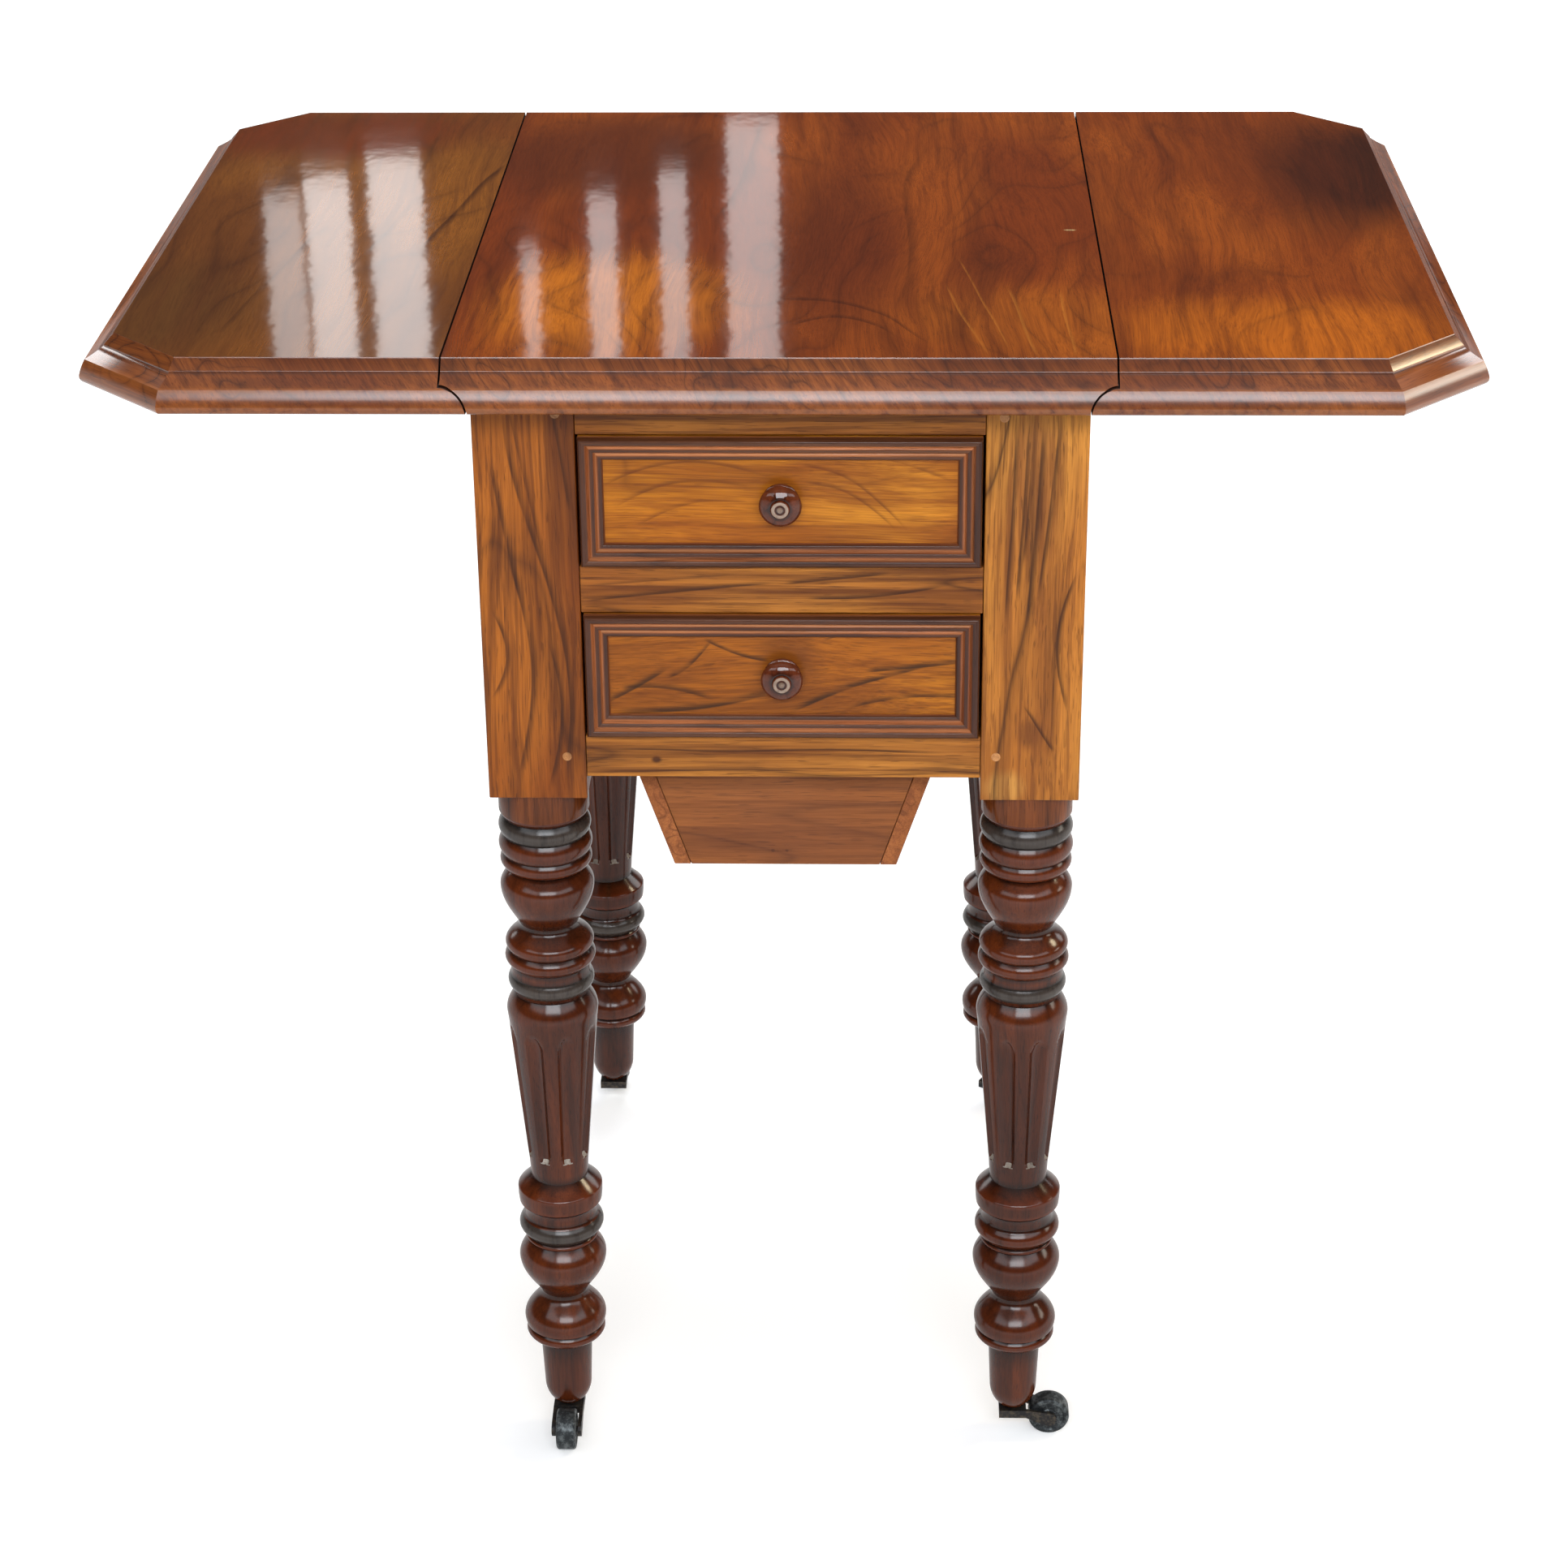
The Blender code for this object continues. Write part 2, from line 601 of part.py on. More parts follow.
def make_lower_runner(side_name):
    """Carries the lower drawer on its top, and the well's batten in its groove."""
    side = SIDES[side_name]
    inner = WELL_TOP_WIDTH / 2 + WELL_SIDE_GAP
    outer = PANEL_INNER_X - SEAT_GAP
    guide = DRAWER_HALF_WIDTH + RUNNING_GAP
    groove = WELL_TOP_WIDTH / 2 + WELL_BATTEN_OUT + RUNNING_GAP
    groove_low = WELL_TOP_Z - WELL_BATTEN_HEIGHT - SEAT_GAP
    groove_top = WELL_TOP_Z + SEAT_GAP
    low = groove_low - WELL_RUNNER_LIP
    top = LOWER_FLOOR_Z + GUIDE_HEIGHT
    channel = [
        (inner, low),
        (INNER_X - SEAT_GAP, low),
        (INNER_X - SEAT_GAP, LOWER_FLOOR_Z),
        (inner, LOWER_FLOOR_Z),
        (inner, groove_top),
        (groove, groove_top),
        (groove, groove_low),
        (inner, groove_low),
    ]
    reach = INNER_Y - SEAT_GAP
    mesh = prism_mesh(mirrored(channel, side), "Y", RAIL_BACK_Y + SEAT_GAP, reach)
    runner = add_part(f"lower_runner_{side_name}", mesh, "inner_wood")
    overlap = groove + CUT_MARGIN
    ledge = LOWER_FLOOR_Z - CUT_MARGIN
    bearer = [(overlap, low + CUT_MARGIN), (outer, low + CUT_MARGIN), (outer, top)]
    bearer += [(guide, top), (guide, ledge), (overlap, ledge)]
    join(runner, prism_mesh(mirrored(bearer, side), "Y", -reach, reach - CUT_MARGIN))


# Top and leaves
def edge_profile():
    """The moulded edge as (out, down) points from the rim of the flat top to the underside."""
    ovolo_foot = EDGE_FILLET + EDGE_OVOLO_DOWN
    points = [(0.0, 0.0)]
    for step in range(3):
        a = math.pi / 4 * step
        points.append((EDGE_OVOLO_OUT * math.sin(a), ovolo_foot - EDGE_OVOLO_DOWN * math.cos(a)))
    quirk = (EDGE_OVOLO_OUT + EDGE_QUIRK, ovolo_foot + EDGE_QUIRK)
    points += [(EDGE_OVOLO_OUT, quirk[1]), quirk]
    a = math.pi / 4
    cove = (quirk[0] + EDGE_COVE_OUT * (1 - math.cos(a)), quirk[1] + EDGE_COVE_DOWN * math.sin(a))
    nose = (EDGE_PROJECTION - NOSE_RADIUS, TOP_THICKNESS - NOSE_RADIUS)
    return points + [cove] + arc(nose, NOSE_RADIUS, NOSE_START_DEG, 90.0, 5)


def make_top_center():
    half = TOP_FLAT_DEPTH / 2
    back = [(half + out, TOP_Z - down) for out, down in edge_profile()]
    front = [(-y, z) for y, z in reversed(back)]
    mesh = prism_mesh(front + back, "X", -JOINT_X, JOINT_X)
    top = add_part("top_center", mesh, "top_wood")
    reach = half + EDGE_PROJECTION + CUT_MARGIN
    face = JOINT_X - RUNNING_GAP / 2
    radius = RULE_RADIUS + RUNNING_GAP
    cove = arc((JOINT_X, TOP_UNDER_Z), radius, 90.0, 180.0, LEAF_DROP_STEPS)
    outline = [(JOINT_X + CUT_MARGIN, TOP_Z + CUT_MARGIN), (face, TOP_Z + CUT_MARGIN), (face, cove[0][1])]
    outline += cove[1:]
    below = TOP_UNDER_Z - CUT_MARGIN
    outline += [(JOINT_X - radius, below), (JOINT_X + CUT_MARGIN, below)]
    for side in SIDES.values():
        cut(top, prism_mesh(mirrored(outline, side), "Y", -reach, reach))


def leaf_ring(side, inner, out, down):
    """The leaf's clipped outline, grown by the moulding's reach at one depth."""
    slant = out * math.tan(math.pi / 8)
    y = TOP_FLAT_DEPTH / 2
    corner_x, corner_y = LEAF_REACH - LEAF_CORNER + slant, y - LEAF_CORNER + slant
    quarter = [(inner, y + out), (corner_x, y + out), (LEAF_REACH + out, corner_y)]
    points = quarter + [(across, -along) for across, along in reversed(quarter)]
    return [(side * across, along, TOP_Z - down) for across, along in points]


def make_leaf(side_name, joint):
    """A drop leaf, with the round of its rule joint tucked under the centre top's cove."""
    side = SIDES[side_name]
    inner = JOINT_X - RULE_RADIUS - CUT_MARGIN
    rings = [leaf_ring(side, inner, out, down) for out, down in edge_profile()]
    leaf = add_part(f"leaf_{side_name}", ring_mesh(rings, False), "top_wood", joint)
    face = JOINT_X + RUNNING_GAP / 2
    outer_round = arc((JOINT_X, TOP_UNDER_Z), RULE_RADIUS, 90.0, 180.0, LEAF_DROP_STEPS)
    start = inner - CUT_MARGIN
    outline = [(start, TOP_Z + CUT_MARGIN), (face, TOP_Z + CUT_MARGIN), (face, outer_round[0][1])]
    outline += outer_round
    outline += [(JOINT_X - RULE_RADIUS, TOP_UNDER_Z - CUT_MARGIN), (start, TOP_UNDER_Z - CUT_MARGIN)]
    reach = TOP_FLAT_DEPTH / 2 + EDGE_PROJECTION + CUT_MARGIN
    cut(leaf, prism_mesh(mirrored(outline, side), "Y", -reach, reach))
    radius = HINGE_BARREL_RADIUS + RUNNING_GAP
    half = HINGE_LENGTH / 2 + RUNNING_GAP
    centre = (side * JOINT_X, TOP_UNDER_Z)
    for end in ENDS.values():
        start, stop = end * HINGE_Y - half, end * HINGE_Y + half
        cut(leaf, cylinder_mesh(radius, "Y", centre, start, stop, HINGE_SIDES))


# Hinges
def make_hinge(side_name, end_name, joint):
    side, end = SIDES[side_name], ENDS[end_name]
    y = end * HINGE_Y
    half, middle = HINGE_LENGTH / 2, HINGE_MIDDLE / 2
    pin_line = (side * JOINT_X, TOP_UNDER_Z)
    fixed = add_part(
        f"hinge_fixed_flap_{side_name}_{end_name}",
        fixed_flap_mesh(side, y),
        "iron",
    )
    for start, stop in ((y - half, y - middle - RUNNING_GAP), (y + middle + RUNNING_GAP, y + half)):
        join(fixed, cylinder_mesh(HINGE_BARREL_RADIUS, "Y", pin_line, start, stop, HINGE_SIDES))
    start, stop = y - half + RUNNING_GAP, y + half - RUNNING_GAP
    join(fixed, cylinder_mesh(HINGE_PIN_RADIUS, "Y", pin_line, start, stop, HINGE_SIDES))
    moving = add_part(
        f"hinge_moving_flap_{side_name}_{end_name}",
        moving_flap_mesh(side, y),
        "iron",
        joint,
    )
    join(moving, cylinder_mesh(HINGE_BARREL_RADIUS, "Y", pin_line, y - middle, y + middle, HINGE_SIDES))
    bore = HINGE_PIN_RADIUS + SEAT_GAP
    cut(moving, cylinder_mesh(bore, "Y", pin_line, y - half, y + half, HINGE_SIDES))


def flap_points(outline, side, y):
    return [(side * (JOINT_X + across), y + along) for across, along in outline]


def fixed_flap_mesh(side, y):
    """The flap under the centre top, cut away round the moving knuckle."""
    half, middle = HINGE_LENGTH / 2, HINGE_MIDDLE / 2 + RUNNING_GAP
    root = -(HINGE_BARREL_RADIUS + RUNNING_GAP)
    outline = [(-FIXED_FLAP_REACH, -half), (0.0, -half), (0.0, -middle), (root, -middle)]
    outline += [(root, middle), (0.0, middle), (0.0, half), (-FIXED_FLAP_REACH, half)]
    top = TOP_UNDER_Z - SEAT_GAP
    return prism_mesh(flap_points(outline, side, y), "Z", top - HINGE_FLAP_THICKNESS, top)


def moving_flap_mesh(side, y):
    """The flap under the leaf, with a tongue to the middle knuckle."""
    half, middle = HINGE_LENGTH / 2, HINGE_MIDDLE / 2
    root = HINGE_BARREL_RADIUS + RUNNING_GAP
    outline = [(0.0, -middle), (root, -middle), (root, -half), (MOVING_FLAP_REACH, -half)]
    outline += [(MOVING_FLAP_REACH, half), (root, half), (root, middle), (0.0, middle)]
    top = TOP_UNDER_Z - SEAT_GAP
    return prism_mesh(flap_points(outline, side, y), "Z", top - HINGE_FLAP_THICKNESS, top)


# Lopers
def make_loper_bearer():
    """The ridged board under the top that the lopers slide on."""
    floor = LOPER_UNDER_Z - SEAT_GAP
    top = TOP_UNDER_Z - SEAT_GAP
    ridge = BEARER_RIDGE / 2
    fence = ridge + LOPER_WIDTH + 2 * RUNNING_GAP
    edge = fence + BEARER_FENCE
    half = [(ridge, top), (ridge, floor), (fence, floor), (fence, top), (edge, top)]
    half.append((edge, floor - BEARER_THICKNESS))
    outline = half + [(-y, z) for y, z in reversed(half)]
    reach = PANEL_INNER_X - SEAT_GAP
    add_part("loper_bearer", prism_mesh(outline, "X", -reach, reach), "inner_wood")


def make_loper(side_name, joint):
    side = SIDES[side_name]
    left, right = spread(side, -PANEL_INNER_X + LOPER_INNER_GAP, PANEL_OUTER_X)
    y = side * LOPER_Y
    low = (left, y - LOPER_WIDTH / 2, LOPER_UNDER_Z)
    high = (right, y + LOPER_WIDTH / 2, LOPER_TOP_Z)
    add_part(f"loper_{side_name}", box_mesh(low, high), "inner_wood", joint)


# Drawers
def make_drawer(name, floor_z, opening, joint):
    """A drawer that rests on runners at floor_z, in an opening of the case's front."""
    half = DRAWER_HALF_WIDTH
    front_low, front_high = floor_z + FRONT_GAP, floor_z + opening - FRONT_GAP
    front_back_y = FRONT_Y + DRAWER_FRONT_THICKNESS
    back_y = FRONT_Y + DRAWER_LENGTH
    side_low, side_high = floor_z + SEAT_GAP, floor_z + opening - DRAWER_HEADROOM
    side_y = front_back_y + SEAT_GAP
    side_inner = half - DRAWER_SIDE_THICKNESS
    board_low = side_low + DRAWER_GROOVE_HEIGHT
    board_high = board_low + DRAWER_BOTTOM_THICKNESS
    board_half = side_inner + DRAWER_GROOVE_DEPTH - SEAT_GAP
    board_front = front_back_y - DRAWER_GROOVE_DEPTH + SEAT_GAP
    groove = box_mesh(
        (-board_half - SEAT_GAP, board_front - SEAT_GAP, board_low - SEAT_GAP),
        (board_half + SEAT_GAP, back_y + CUT_MARGIN, board_high + SEAT_GAP),
    )
    front_mesh = box_mesh((-half, FRONT_Y, front_low), (half, front_back_y, front_high))
    front = add_part(f"{name}_front", front_mesh, "drawer_wood", joint)
    cut(front, groove)
    knob_z = (front_low + front_high) / 2
    stem = cylinder_mesh(
        KNOB_STEM_RADIUS + SEAT_GAP,
        "Y",
        (0.0, knob_z),
        FRONT_Y - CUT_MARGIN,
        FRONT_Y + KNOB_STEM_LENGTH,
        KNOB_SIDES,
    )
    cut(front, stem)
    for side_name, side in SIDES.items():
        left, right = spread(side, side_inner, half)
        mesh = box_mesh((left, side_y, side_low), (right, back_y, side_high))
        board = add_part(f"{name}_side_{side_name}", mesh, "inner_wood", joint)
        cut(board, groove)
    back_half = side_inner - SEAT_GAP
    back_low = (-back_half, back_y - DRAWER_BACK_THICKNESS, board_high + SEAT_GAP)
    add_part(f"{name}_back", box_mesh(back_low, (back_half, back_y, side_high)), "inner_wood", joint)
    bottom = box_mesh((-board_half, board_front, board_low), (board_half, back_y, board_high))
    add_part(f"{name}_bottom", bottom, "inner_wood", joint)
    frame = drawer_frame_mesh(half, front_low, front_high)
    add_part(f"{name}_moulding", frame, "moulding_wood", joint)
    add_round_part(f"{name}_knob", knob_mesh(knob_z), "leg_wood", joint)


def drawer_frame_mesh(half, low, high):
    """The reeded frame round a drawer front, mitred at its corners, with reeds that step down inwards."""
    section = [(0.0, 0.0), (0.0, FRAME_EDGE_HEIGHT)]
    for width, crest, groove in FRAME_REEDS:
        start = section[-1][0]
        section += [(start + width * 0.3, crest), (start + width * 0.7, crest), (start + width, groove)]
    face = FRONT_Y - SEAT_GAP
    rings = []
    for inset, height in section:
        x, bottom, top, y = half - inset, low + inset, high - inset, face - height
        rings.append([(-x, y, bottom), (x, y, bottom), (x, y, top), (-x, y, top)])
    return ring_mesh(rings, True)


def knob_mesh(height):
    """A squat turned knob on its stem, with a ringed boss on its face."""
    boss_foot = KNOB_REACH - KNOB_BOSS_HEIGHT
    ball = boss_foot - KNOB_BASE_THICKNESS
    profile = [
        (0.0, KNOB_REACH),
        (KNOB_BOSS_RADIUS * 0.6, KNOB_REACH),
        (KNOB_BOSS_RADIUS, boss_foot + KNOB_BOSS_HEIGHT / 2),
        (KNOB_BOSS_RADIUS * 1.2, boss_foot),
        (KNOB_RADIUS * 0.88, KNOB_BASE_THICKNESS + ball * 0.88),
        (KNOB_RADIUS, KNOB_BASE_THICKNESS + ball * 0.64),
        (KNOB_RADIUS * 0.94, KNOB_BASE_THICKNESS + ball * 0.44),
        (KNOB_NECK_RADIUS, KNOB_BASE_THICKNESS + ball * 0.22),
        (KNOB_NECK_RADIUS, KNOB_BASE_THICKNESS + ball * 0.12),
        (KNOB_BASE_RADIUS, KNOB_BASE_THICKNESS),
        (KNOB_BASE_RADIUS, 0.0),
        (KNOB_STEM_RADIUS, 0.0),
        (KNOB_STEM_RADIUS, SEAT_GAP - KNOB_STEM_LENGTH),
        (0.0, SEAT_GAP - KNOB_STEM_LENGTH),
    ]
    mesh = lathe_mesh(profile, KNOB_SIDES)
    seat = Matrix.Translation((0.0, FRONT_Y - SEAT_GAP, height))
    mesh.transform(seat @ Matrix.Rotation(math.pi / 2, 4, "X"))
    return mesh


# Well
def well_half_width(height):
    """Half the well's outer width at a height, from its sloping sides."""
    rise = (height - (WELL_TOP_Z - WELL_DEPTH)) / WELL_DEPTH
    return (WELL_BOTTOM_WIDTH + (WELL_TOP_WIDTH - WELL_BOTTOM_WIDTH) * rise) / 2


def well_section(low, high, ease):
    """A board across the well, between its sides, from one height to another."""
    bottom = well_half_width(low) - WELL_BOARD - ease
    top = well_half_width(high) - WELL_BOARD - ease
    return [(-bottom, low), (bottom, low), (top, high), (-top, high)]


def make_well(joint):
    low, top = WELL_TOP_Z - WELL_DEPTH, WELL_TOP_Z
    batten_low = top - WELL_BATTEN_HEIGHT
    batten_out = WELL_TOP_WIDTH / 2 + WELL_BATTEN_OUT
    side_outline = [
        (well_half_width(low) - WELL_BOARD, low),
        (well_half_width(low), low),
        (well_half_width(batten_low), batten_low),
        (batten_out, batten_low),
        (batten_out, top),
        (well_half_width(top) - WELL_BOARD, top),
    ]
    for side_name, side in SIDES.items():
        mesh = prism_mesh(mirrored(side_outline, side), "Y", WELL_FRONT_Y, WELL_BACK_Y)
        add_part(f"well_side_{side_name}", mesh, "well_wood", joint)
    end = well_section(low, top, SEAT_GAP)
    front_inner, back_inner = WELL_FRONT_Y + WELL_BOARD, WELL_BACK_Y - WELL_BOARD
    add_part("well_front", prism_mesh(end, "Y", WELL_FRONT_Y, front_inner), "well_wood", joint)
    add_part("well_back", prism_mesh(end, "Y", back_inner, WELL_BACK_Y), "well_wood", joint)
    floor_low = low + WELL_FLOOR_HEIGHT
    floor = well_section(floor_low, floor_low + WELL_FLOOR_THICKNESS, SEAT_GAP)
    mesh = prism_mesh(floor, "Y", front_inner + SEAT_GAP, back_inner - SEAT_GAP)
    add_part("well_bottom", mesh, "well_wood", joint)


# Casters, drawn with the pivot on the Z axis and the wheel trailing to +X
def yoke_arm_outline():
    plate_low = FOOT_HEIGHT - SEAT_GAP - YOKE_PLATE_THICKNESS
    plate_top = FOOT_HEIGHT - SEAT_GAP
    eye = arc((CASTER_TRAIL, AXLE_HEIGHT), YOKE_EYE_RADIUS, 80.0, -100.0, 6)
    back, front = -YOKE_PLATE_REACH * 0.6, YOKE_PLATE_REACH
    return [(back, plate_low), (back, plate_top), (front, plate_top), *eye, (front, plate_low)]


def yoke_half_width():
    return WHEEL_WIDTH / 2 + YOKE_ARM_GAP + YOKE_ARM_THICKNESS


def wheel_profile():
    half = WHEEL_WIDTH / 2
    bore = AXLE_RADIUS + SEAT_GAP
    shoulder = half - WHEEL_EDGE
    rim = WHEEL_RADIUS - WHEEL_EDGE
    upper = [(bore, half), (rim, half), (WHEEL_RADIUS, shoulder)]
    return upper + [(radius, -height) for radius, height in reversed(upper)]


def pivot_profile():
    head_top = FOOT_HEIGHT - SEAT_GAP - YOKE_PLATE_THICKNESS - SEAT_GAP
    head_low = head_top - PIVOT_HEAD_THICKNESS
    top = FOOT_HEIGHT + PIVOT_LENGTH
    return [
        (0.0, top),
        (PIVOT_RADIUS, top),
        (PIVOT_RADIUS, head_top),
        (PIVOT_HEAD_RADIUS, head_top),
        (PIVOT_HEAD_RADIUS * 0.8, head_low),
        (0.0, head_low),
    ]


def seat_on(obj, parent):
    """Takes a piece drawn at a joint's own centre to that joint."""
    obj.parent = parent
    obj.matrix_parent_inverse = Matrix.Identity(4)


def make_caster(end_name, side_name):
    corner = f"{end_name}_{side_name}"
    x = SIDES[side_name] * (HALF_WIDTH - LEG_SIZE / 2)
    y = ENDS[end_name] * (HALF_DEPTH - LEG_SIZE / 2)
    pivot = add_round_part(f"caster_pivot_{corner}", lathe_mesh(pivot_profile(), CASTER_SIDES), "iron")
    pivot.location = (x, y, 0.0)
    swivel = add_joint(f"caster_swivel_{corner}", (x, y, 0.0), None, math.radians(CASTER_TRAIL_DEG[corner]))
    axle = add_joint(f"caster_axle_{corner}", (CASTER_TRAIL, 0.0, AXLE_HEIGHT), swivel)
    half = yoke_half_width()
    plate_top = FOOT_HEIGHT - SEAT_GAP
    plate_low = plate_top - YOKE_PLATE_THICKNESS
    plate = box_mesh((-YOKE_PLATE_REACH, -half, plate_low), (YOKE_PLATE_REACH, half, plate_top))
    yoke = add_part(f"caster_yoke_{corner}", plate, "iron")
    seat_on(yoke, swivel)
    for start, stop in ((-half, YOKE_ARM_THICKNESS - half), (half - YOKE_ARM_THICKNESS, half)):
        join(yoke, prism_mesh(yoke_arm_outline(), "Y", start, stop), swivel)
    inset = YOKE_ARM_THICKNESS / 2
    axle_line = (CASTER_TRAIL, AXLE_HEIGHT)
    pin = cylinder_mesh(AXLE_RADIUS, "Y", axle_line, inset - half, half - inset, CASTER_SIDES)
    join(yoke, pin, swivel)
    hole = PIVOT_RADIUS + SEAT_GAP
    below, above = plate_low - CUT_MARGIN, plate_top + CUT_MARGIN
    cut(yoke, cylinder_mesh(hole, "Z", (0.0, 0.0), below, above, CASTER_SIDES), swivel)
    wheel_mesh = lathe_mesh(wheel_profile(), WHEEL_SIDES, closed=True)
    flat_down = Matrix.Rotation(math.pi / WHEEL_SIDES, 4, "Y")
    wheel_mesh.transform(flat_down @ Matrix.Rotation(math.pi / 2, 4, "X"))
    wheel = add_round_part(f"caster_wheel_{corner}", wheel_mesh, "iron")
    seat_on(wheel, axle)


def make_table():
    make_front_rails()
    make_back_panel()
    make_top_center()
    make_loper_bearer()
    for side_name, side in SIDES.items():
        make_side_panel(side_name)
        make_upper_runner(side_name)
        make_lower_runner(side_name)
        fold = add_joint(f"leaf_fold_{side_name}", (side * JOINT_X, 0.0, TOP_UNDER_Z))
        make_leaf(side_name, fold)
        slide = add_joint(f"loper_slide_{side_name}", (side * PANEL_OUTER_X, side * LOPER_Y, LOPER_TOP_Z))
        make_loper(side_name, slide)
        for end_name in ENDS:
            make_hinge(side_name, end_name, fold)
            make_leg(end_name, side_name)
            make_caster(end_name, side_name)
    upper = add_joint("upper_drawer_slide", (0.0, FRONT_Y, UPPER_FLOOR_Z))
    make_drawer("upper_drawer", UPPER_FLOOR_Z, UPPER_OPENING, upper)
    lower = add_joint("lower_drawer_slide", (0.0, FRONT_Y, LOWER_FLOOR_Z))
    make_drawer("lower_drawer", LOWER_FLOOR_Z, LOWER_OPENING, lower)
    make_well(add_joint("well_slide", (0.0, WELL_FRONT_Y, WELL_TOP_Z)))


make_table()
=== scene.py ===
"""Looks of the drop-leaf bedside table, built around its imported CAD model.

Metres, +Z up. The front faces -Y. At rest the leaves are up,
and the drawers, the well and the lopers are in.
"""

import json
import math

import bmesh
import bpy
from mathutils import Matrix, Vector

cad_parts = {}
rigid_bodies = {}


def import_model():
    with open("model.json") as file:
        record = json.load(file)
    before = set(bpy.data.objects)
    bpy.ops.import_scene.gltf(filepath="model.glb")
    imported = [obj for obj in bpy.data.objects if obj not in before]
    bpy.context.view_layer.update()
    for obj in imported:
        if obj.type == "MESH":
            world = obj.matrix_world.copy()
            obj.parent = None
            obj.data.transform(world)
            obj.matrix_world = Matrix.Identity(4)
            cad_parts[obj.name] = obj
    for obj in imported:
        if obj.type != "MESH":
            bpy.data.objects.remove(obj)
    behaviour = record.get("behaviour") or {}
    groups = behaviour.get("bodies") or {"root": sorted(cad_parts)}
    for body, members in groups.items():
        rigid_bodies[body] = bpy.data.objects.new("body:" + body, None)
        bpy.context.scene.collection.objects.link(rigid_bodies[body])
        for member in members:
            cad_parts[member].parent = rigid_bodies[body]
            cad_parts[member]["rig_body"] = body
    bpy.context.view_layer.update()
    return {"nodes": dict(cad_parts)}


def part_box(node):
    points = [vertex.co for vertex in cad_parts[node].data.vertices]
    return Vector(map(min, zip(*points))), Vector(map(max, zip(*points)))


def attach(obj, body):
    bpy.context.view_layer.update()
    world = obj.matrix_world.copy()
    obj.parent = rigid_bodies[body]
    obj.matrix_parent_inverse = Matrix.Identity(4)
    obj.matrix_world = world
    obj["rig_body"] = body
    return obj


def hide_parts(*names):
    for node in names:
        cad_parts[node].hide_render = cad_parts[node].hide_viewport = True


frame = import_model()

NODES = frame["nodes"]
SIDES = {"left": -1, "right": 1}
ENDS = {"front": -1, "back": 1}
CORNERS = [(end, side) for end in ENDS for side in SIDES]
# Parts of a turn
QUARTER = math.pi / 2
EIGHTH = math.pi / 4

# Camera, fitted to the photograph
CAMERA_PLACE = (0.0572, -2.0174, 1.3426)
CAMERA_YAW = -0.0317
CAMERA_PITCH = 0.4542
CAMERA_ROLL = -0.0094
CAMERA_LENS = 80.22
SENSOR_WIDTH = 36.0

# Sizes repeated from the part's source
SEAT_GAP = 0.0003
RUNNING_GAP = 0.0005
HALF_WIDTH = 0.1685
HALF_DEPTH = 0.2271
FRONT_Y = -HALF_DEPTH
LEG_SIZE = 0.0563
INNER_X = HALF_WIDTH - LEG_SIZE
LEG_X = HALF_WIDTH - LEG_SIZE / 2
LEG_Y = HALF_DEPTH - LEG_SIZE / 2
TURNED_HEIGHT = 0.4582
FOOT_HEIGHT = 0.020
CASE_TOP_Z = 0.7032
NECK_RADIUS = 0.0264
FLUTED_END_RADIUS = 0.0180
TOP_Z = 0.730
TOP_THICKNESS = 0.0265
TOP_UNDER_Z = TOP_Z - TOP_THICKNESS
TOP_FLAT_DEPTH = 0.4914
LEAF_REACH = 0.3644
LEAF_CORNER = 0.0405
JOINT_X = 0.1809
RULE_RADIUS = 0.0145
EDGE_PROJECTION = 0.0195
HINGE_Y = 0.105
HINGE_LENGTH = 0.050
HINGE_BARREL_RADIUS = 0.0030
KNOB_STEM_RADIUS = 0.0040
WHEEL_WIDTH = 0.0124
CASTER_TRAIL_DEG = {"front_left": -90.0, "front_right": 0.0, "back_left": 90.0, "back_right": 60.0}

# Turnings of the legs, finer than in the part's source: shape, length, end radius and a bead's swell,
# from the block down
UPPER_TURNINGS = (
    ("straight", 0.0182, 0.0264),
    ("straight", 0.0040, 0.0243),
    ("bead", 0.0117, 0.0250, 0.0024),
    ("bead", 0.0125, 0.0252, 0.0023),
    ("bead", 0.0083, 0.0250, 0.0018),
    ("straight", 0.0022, 0.0208),
    ("round_out", 0.0108, 0.0276),
    ("round_in", 0.0208, 0.0198),
    ("round_out", 0.0050, 0.0175),
    ("round_in", 0.0052, 0.0208),
    ("bead", 0.0118, 0.0244, 0.0034),
    ("bead", 0.0102, 0.0237, 0.0028),
    ("straight", 0.0060, 0.0237),
    ("bead", 0.0095, 0.0237, 0.0019),
    ("straight", 0.0035, 0.0222),
    ("round_out", 0.0120, 0.0273),
    ("straight", 0.0070, 0.0265),
)
LOWER_TURNINGS = (
    ("straight", 0.0105, 0.0174),
    ("straight", 0.0072, 0.0252),
    ("round_out", 0.0012, 0.0258),
    ("bead", 0.0095, 0.0253, 0.0002),
    ("straight", 0.0016, 0.0232),
    ("bead", 0.0085, 0.0222, -0.0006),
    ("bead", 0.0135, 0.0216, 0.0040),
    ("straight", 0.0008, 0.0212),
    ("bead", 0.0028, 0.0216, 0.0008),
    ("straight", 0.0006, 0.0200),
    ("round_out", 0.0126, 0.0268),
    ("round_in", 0.0210, 0.0170),
    ("round_out", 0.0054, 0.0144),
    ("round_in", 0.0060, 0.0180),
    ("round_out", 0.0125, 0.0253),
    ("round_in", 0.0051, 0.0244),
    ("straight", 0.0012, 0.0224),
    ("bead", 0.0074, 0.0222, 0.0022),
    ("straight", 0.0024, 0.0160),
    ("straight", 0.0344, 0.0146),
    ("dome", 0.0160, 0.0060),
)
STRAIGHT_STEPS = 2
TURNING_STEPS = 9
FLUTED_STEPS = 80
